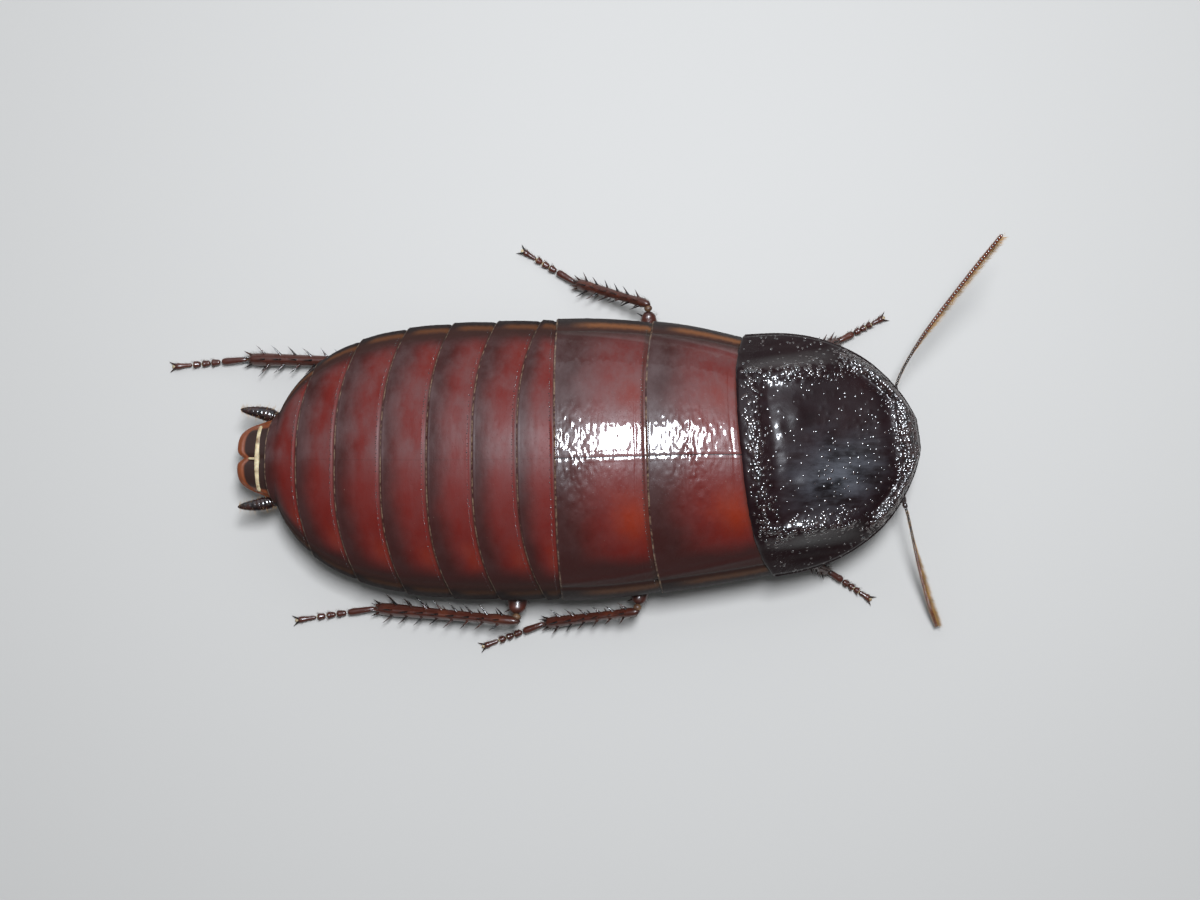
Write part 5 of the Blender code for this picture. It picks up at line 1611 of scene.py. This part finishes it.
class CockroachColours(bpy.types.PropertyGroup):
    """The colours of the shell, in linear light."""

    shell_red: bpy.props.FloatVectorProperty(
        name="Shell red", description="The bright front part of each back plate", subtype="COLOR",
        default=(0.115, 0.0095, 0.0065), min=0, max=1,
    )
    shell_dark: bpy.props.FloatVectorProperty(
        name="Shell dark", description="The dark hind part of each back plate", subtype="COLOR",
        default=(0.036, 0.009, 0.0075), min=0, max=1,
    )
    # Also painted as shadow just behind the lip of each plate ahead.
    shell_olive: bpy.props.FloatVectorProperty(
        name="Shell olive", description="The olive tone of plate borders", subtype="COLOR",
        default=(0.028, 0.015, 0.01), min=0, max=1,
    )
    patch_orange: bpy.props.FloatVectorProperty(
        name="Orange patch", description="Soft patches on the thorax plates", subtype="COLOR",
        default=(0.21, 0.021, 0.006), min=0, max=1,
    )
    shield_black: bpy.props.FloatVectorProperty(
        name="Shield black", description="The shield over the head", subtype="COLOR",
        default=(0.0035, 0.0028, 0.0034), min=0, max=1,
    )
    leg_brown: bpy.props.FloatVectorProperty(
        name="Leg brown", description="The middle of each leg segment", subtype="COLOR",
        default=(0.06, 0.014, 0.008), min=0, max=1,
    )
    mouth_brown: bpy.props.FloatVectorProperty(
        name="Mouth brown", description="Lips and palps", subtype="COLOR",
        default=(0.13, 0.045, 0.02), min=0, max=1,
    )
    antenna_brown: bpy.props.FloatVectorProperty(
        name="Antenna brown", description="The feelers towards their tips", subtype="COLOR",
        default=(0.2, 0.045, 0.018), min=0, max=1,
    )
    bristle_gold: bpy.props.FloatVectorProperty(
        name="Bristle gold", description="Fine bristles on feelers and mouth", subtype="COLOR",
        default=(0.5, 0.27, 0.08), min=0, max=1,
    )
    soft_skin: bpy.props.FloatVectorProperty(
        name="Soft skin", description="Skin between plates and at joints", subtype="COLOR",
        default=(0.62, 0.5, 0.3), min=0, max=1,
    )


class CockroachStudio(bpy.types.PropertyGroup):
    """The floor, the lights and the camera."""

    floor_tone: bpy.props.FloatVectorProperty(
        name="Floor tone", description="Colour of the plain floor", subtype="COLOR",
        default=(0.46, 0.435, 0.405), min=0, max=1,
    )
    camera_distance: bpy.props.FloatProperty(
        name="Camera distance", description="From the camera to the back", unit="LENGTH",
        default=0.22, min=0.05,
    )
    camera_height_angle: bpy.props.FloatProperty(
        name="Camera elevation", description="Angle of the view above the floor", subtype="ANGLE",
        default=math.radians(89),
    )
    frame_width: bpy.props.FloatProperty(
        name="Frame width", description="Width of the view at the level of the back", unit="LENGTH",
        default=0.1305,
    )


def build_stage():
    """A plain floor, a soft sky that is brighter high up and towards the animal's left, two soft lights, and
    the camera above the back."""
    studio = bpy.context.scene.cockroach_studio
    mesh = bpy.data.meshes.new("studio_floor")
    corners = [(FLOOR_REACH * x, FLOOR_REACH * y, 0) for x, y in ((-1, -1), (1, -1), (1, 1), (-1, 1))]
    mesh.from_pydata(corners, [], [(0, 1, 2, 3)])
    paint = Paint("studio_floor")
    mesh.materials.append(paint.finish(tuple(studio.floor_tone), 0.6))
    floor = bpy.data.objects.new("studio_floor", mesh)
    bpy.context.scene.collection.objects.link(floor)
    world = bpy.data.worlds.new("studio")
    world.use_nodes = True
    tree = world.node_tree
    sky = tree.nodes["Background"]
    sky.inputs["Color"].default_value = SKY_TINT
    kinds = ("ShaderNodeTexCoord", "ShaderNodeVectorMath", "ShaderNodeMapRange")
    coordinates, height, strength = (tree.nodes.new(kind) for kind in kinds)
    height.operation = "DOT_PRODUCT"
    height.inputs[1].default_value = SKY_BRIGHTENS
    strength.interpolation_type = "SMOOTHSTEP"
    for key, value in SKY_RANGE.items():
        strength.inputs[key].default_value = value
    tree.links.new(coordinates.outputs["Generated"], height.inputs[0])
    tree.links.new(height.outputs["Value"], strength.inputs["Value"])
    tree.links.new(strength.outputs["Result"], sky.inputs["Strength"])
    bpy.context.scene.world = world
    target = Vector(place(LOOKED_AT))
    for name, (offset, size, power) in LIGHTS.items():
        data = bpy.data.lights.new(name, "AREA")
        data.shape = "RECTANGLE"
        data.size, data.size_y = size
        data.energy = power
        data.color = LIGHT_TINT
        light = bpy.data.objects.new(name, data)
        light.location = target + Vector(offset)
        light.rotation_mode = "QUATERNION"
        light.rotation_quaternion = (-Vector(offset)).to_track_quat("-Z", "Y")
        bpy.context.scene.collection.objects.link(light)
    data = bpy.data.cameras.new("camera")
    data.sensor_width = SENSOR_WIDTH
    data.lens = SENSOR_WIDTH * studio.camera_distance / studio.frame_width
    data.clip_start = NEAREST_SEEN
    camera = bpy.data.objects.new("camera", data)
    rise = studio.camera_height_angle
    away = Vector((0.0, -math.cos(rise), math.sin(rise)))
    camera.location = target + away * studio.camera_distance
    camera.rotation_mode = "QUATERNION"
    camera.rotation_quaternion = (-away).to_track_quat("-Z", "Y")
    bpy.context.scene.collection.objects.link(camera)
    bpy.context.scene.camera = camera
    bpy.context.scene.view_settings.view_transform = "Standard"


class COCKROACH_OT_stage(bpy.types.Operator):
    """Sets up the plain floor, the soft lights and the camera"""

    bl_idname = "cockroach.stage"
    bl_label = "Floor, lights and camera"

    def execute(self, context):
        build_stage()
        return {"FINISHED"}


class COCKROACH_OT_shield(bpy.types.Operator):
    """Builds the shield over the head with its granules"""

    bl_idname = "cockroach.shield"
    bl_label = "Shield over the head"

    def execute(self, context):
        build_shield()
        return {"FINISHED"}


class COCKROACH_OT_back(bpy.types.Operator):
    """Builds the nine plates of the back with their granules"""

    bl_idname = "cockroach.back"
    bl_label = "Back plates"

    def execute(self, context):
        build_back()
        return {"FINISHED"}


class COCKROACH_OT_tail(bpy.types.Operator):
    """Builds the tail plate, its skin and the two cerci with their bristles"""

    bl_idname = "cockroach.tail"
    bl_label = "Tail plate and cerci"

    def execute(self, context):
        build_tail()
        return {"FINISHED"}


class COCKROACH_OT_belly(bpy.types.Operator):
    """Builds the belly plates, the side folds and the breathing holes"""

    bl_idname = "cockroach.belly"
    bl_label = "Belly plates and flanks"

    def execute(self, context):
        build_belly()
        return {"FINISHED"}


class COCKROACH_OT_chest(bpy.types.Operator):
    """Builds the underside of the three thorax segments"""

    bl_idname = "cockroach.chest"
    bl_label = "Underside of the thorax"

    def execute(self, context):
        build_chest()
        return {"FINISHED"}


class COCKROACH_OT_head(bpy.types.Operator):
    """Builds the head capsule, the eyes, the pale spots and the cuffs of the feelers' sockets"""

    bl_idname = "cockroach.head"
    bl_label = "Head and eyes"

    def execute(self, context):
        build_head()
        return {"FINISHED"}


class COCKROACH_OT_mouth(bpy.types.Operator):
    """Builds the lips, jaws and palps with their bristles"""

    bl_idname = "cockroach.mouth"
    bl_label = "Mouthparts"

    def execute(self, context):
        build_mouth()
        return {"FINISHED"}


class COCKROACH_OT_neck(bpy.types.Operator):
    """Builds the soft neck"""

    bl_idname = "cockroach.neck"
    bl_label = "Neck"

    def execute(self, context):
        build_neck()
        return {"FINISHED"}


class COCKROACH_OT_antennae(bpy.types.Operator):
    """Builds the two long feelers with their bristles"""

    bl_idname = "cockroach.antennae"
    bl_label = "Antennae"

    def execute(self, context):
        build_antennae()
        return {"FINISHED"}


class COCKROACH_OT_legs(bpy.types.Operator):
    """Builds the six legs with spines, claws, pads and bristles"""

    bl_idname = "cockroach.legs"
    bl_label = "Legs"

    def execute(self, context):
        build_legs()
        return {"FINISHED"}


OPERATORS = (
    COCKROACH_OT_stage,
    COCKROACH_OT_shield,
    COCKROACH_OT_back,
    COCKROACH_OT_tail,
    COCKROACH_OT_belly,
    COCKROACH_OT_chest,
    COCKROACH_OT_head,
    COCKROACH_OT_mouth,
    COCKROACH_OT_neck,
    COCKROACH_OT_antennae,
    COCKROACH_OT_legs,
)


class COCKROACH_PT_panel(bpy.types.Panel):
    """Lists the building steps in the 3D view's sidebar."""

    bl_idname = "COCKROACH_PT_panel"
    bl_label = "Hissing cockroach"
    bl_space_type = "VIEW_3D"
    bl_region_type = "UI"
    bl_category = "Cockroach"

    def draw(self, context):
        for step_class in OPERATORS:
            self.layout.operator(step_class.bl_idname)
        for settings in (context.scene.cockroach_colours, context.scene.cockroach_studio):
            for key in settings.__annotations__:
                self.layout.prop(settings, key)


CLASSES = (CockroachColours, CockroachStudio, *OPERATORS, COCKROACH_PT_panel)


def register():
    """Registers the settings, the operators and the panel."""
    for made in CLASSES:
        bpy.utils.register_class(made)
    bpy.types.Scene.cockroach_colours = bpy.props.PointerProperty(type=CockroachColours)
    bpy.types.Scene.cockroach_studio = bpy.props.PointerProperty(type=CockroachStudio)


def unregister():
    """Takes them all away again."""
    del bpy.types.Scene.cockroach_colours, bpy.types.Scene.cockroach_studio
    for made in reversed(CLASSES):
        bpy.utils.unregister_class(made)


def main():
    register()
    for step_class in OPERATORS:
        group, name = step_class.bl_idname.split(".")
        getattr(getattr(bpy.ops, group), name)()


if __name__ == "__main__":
    main()
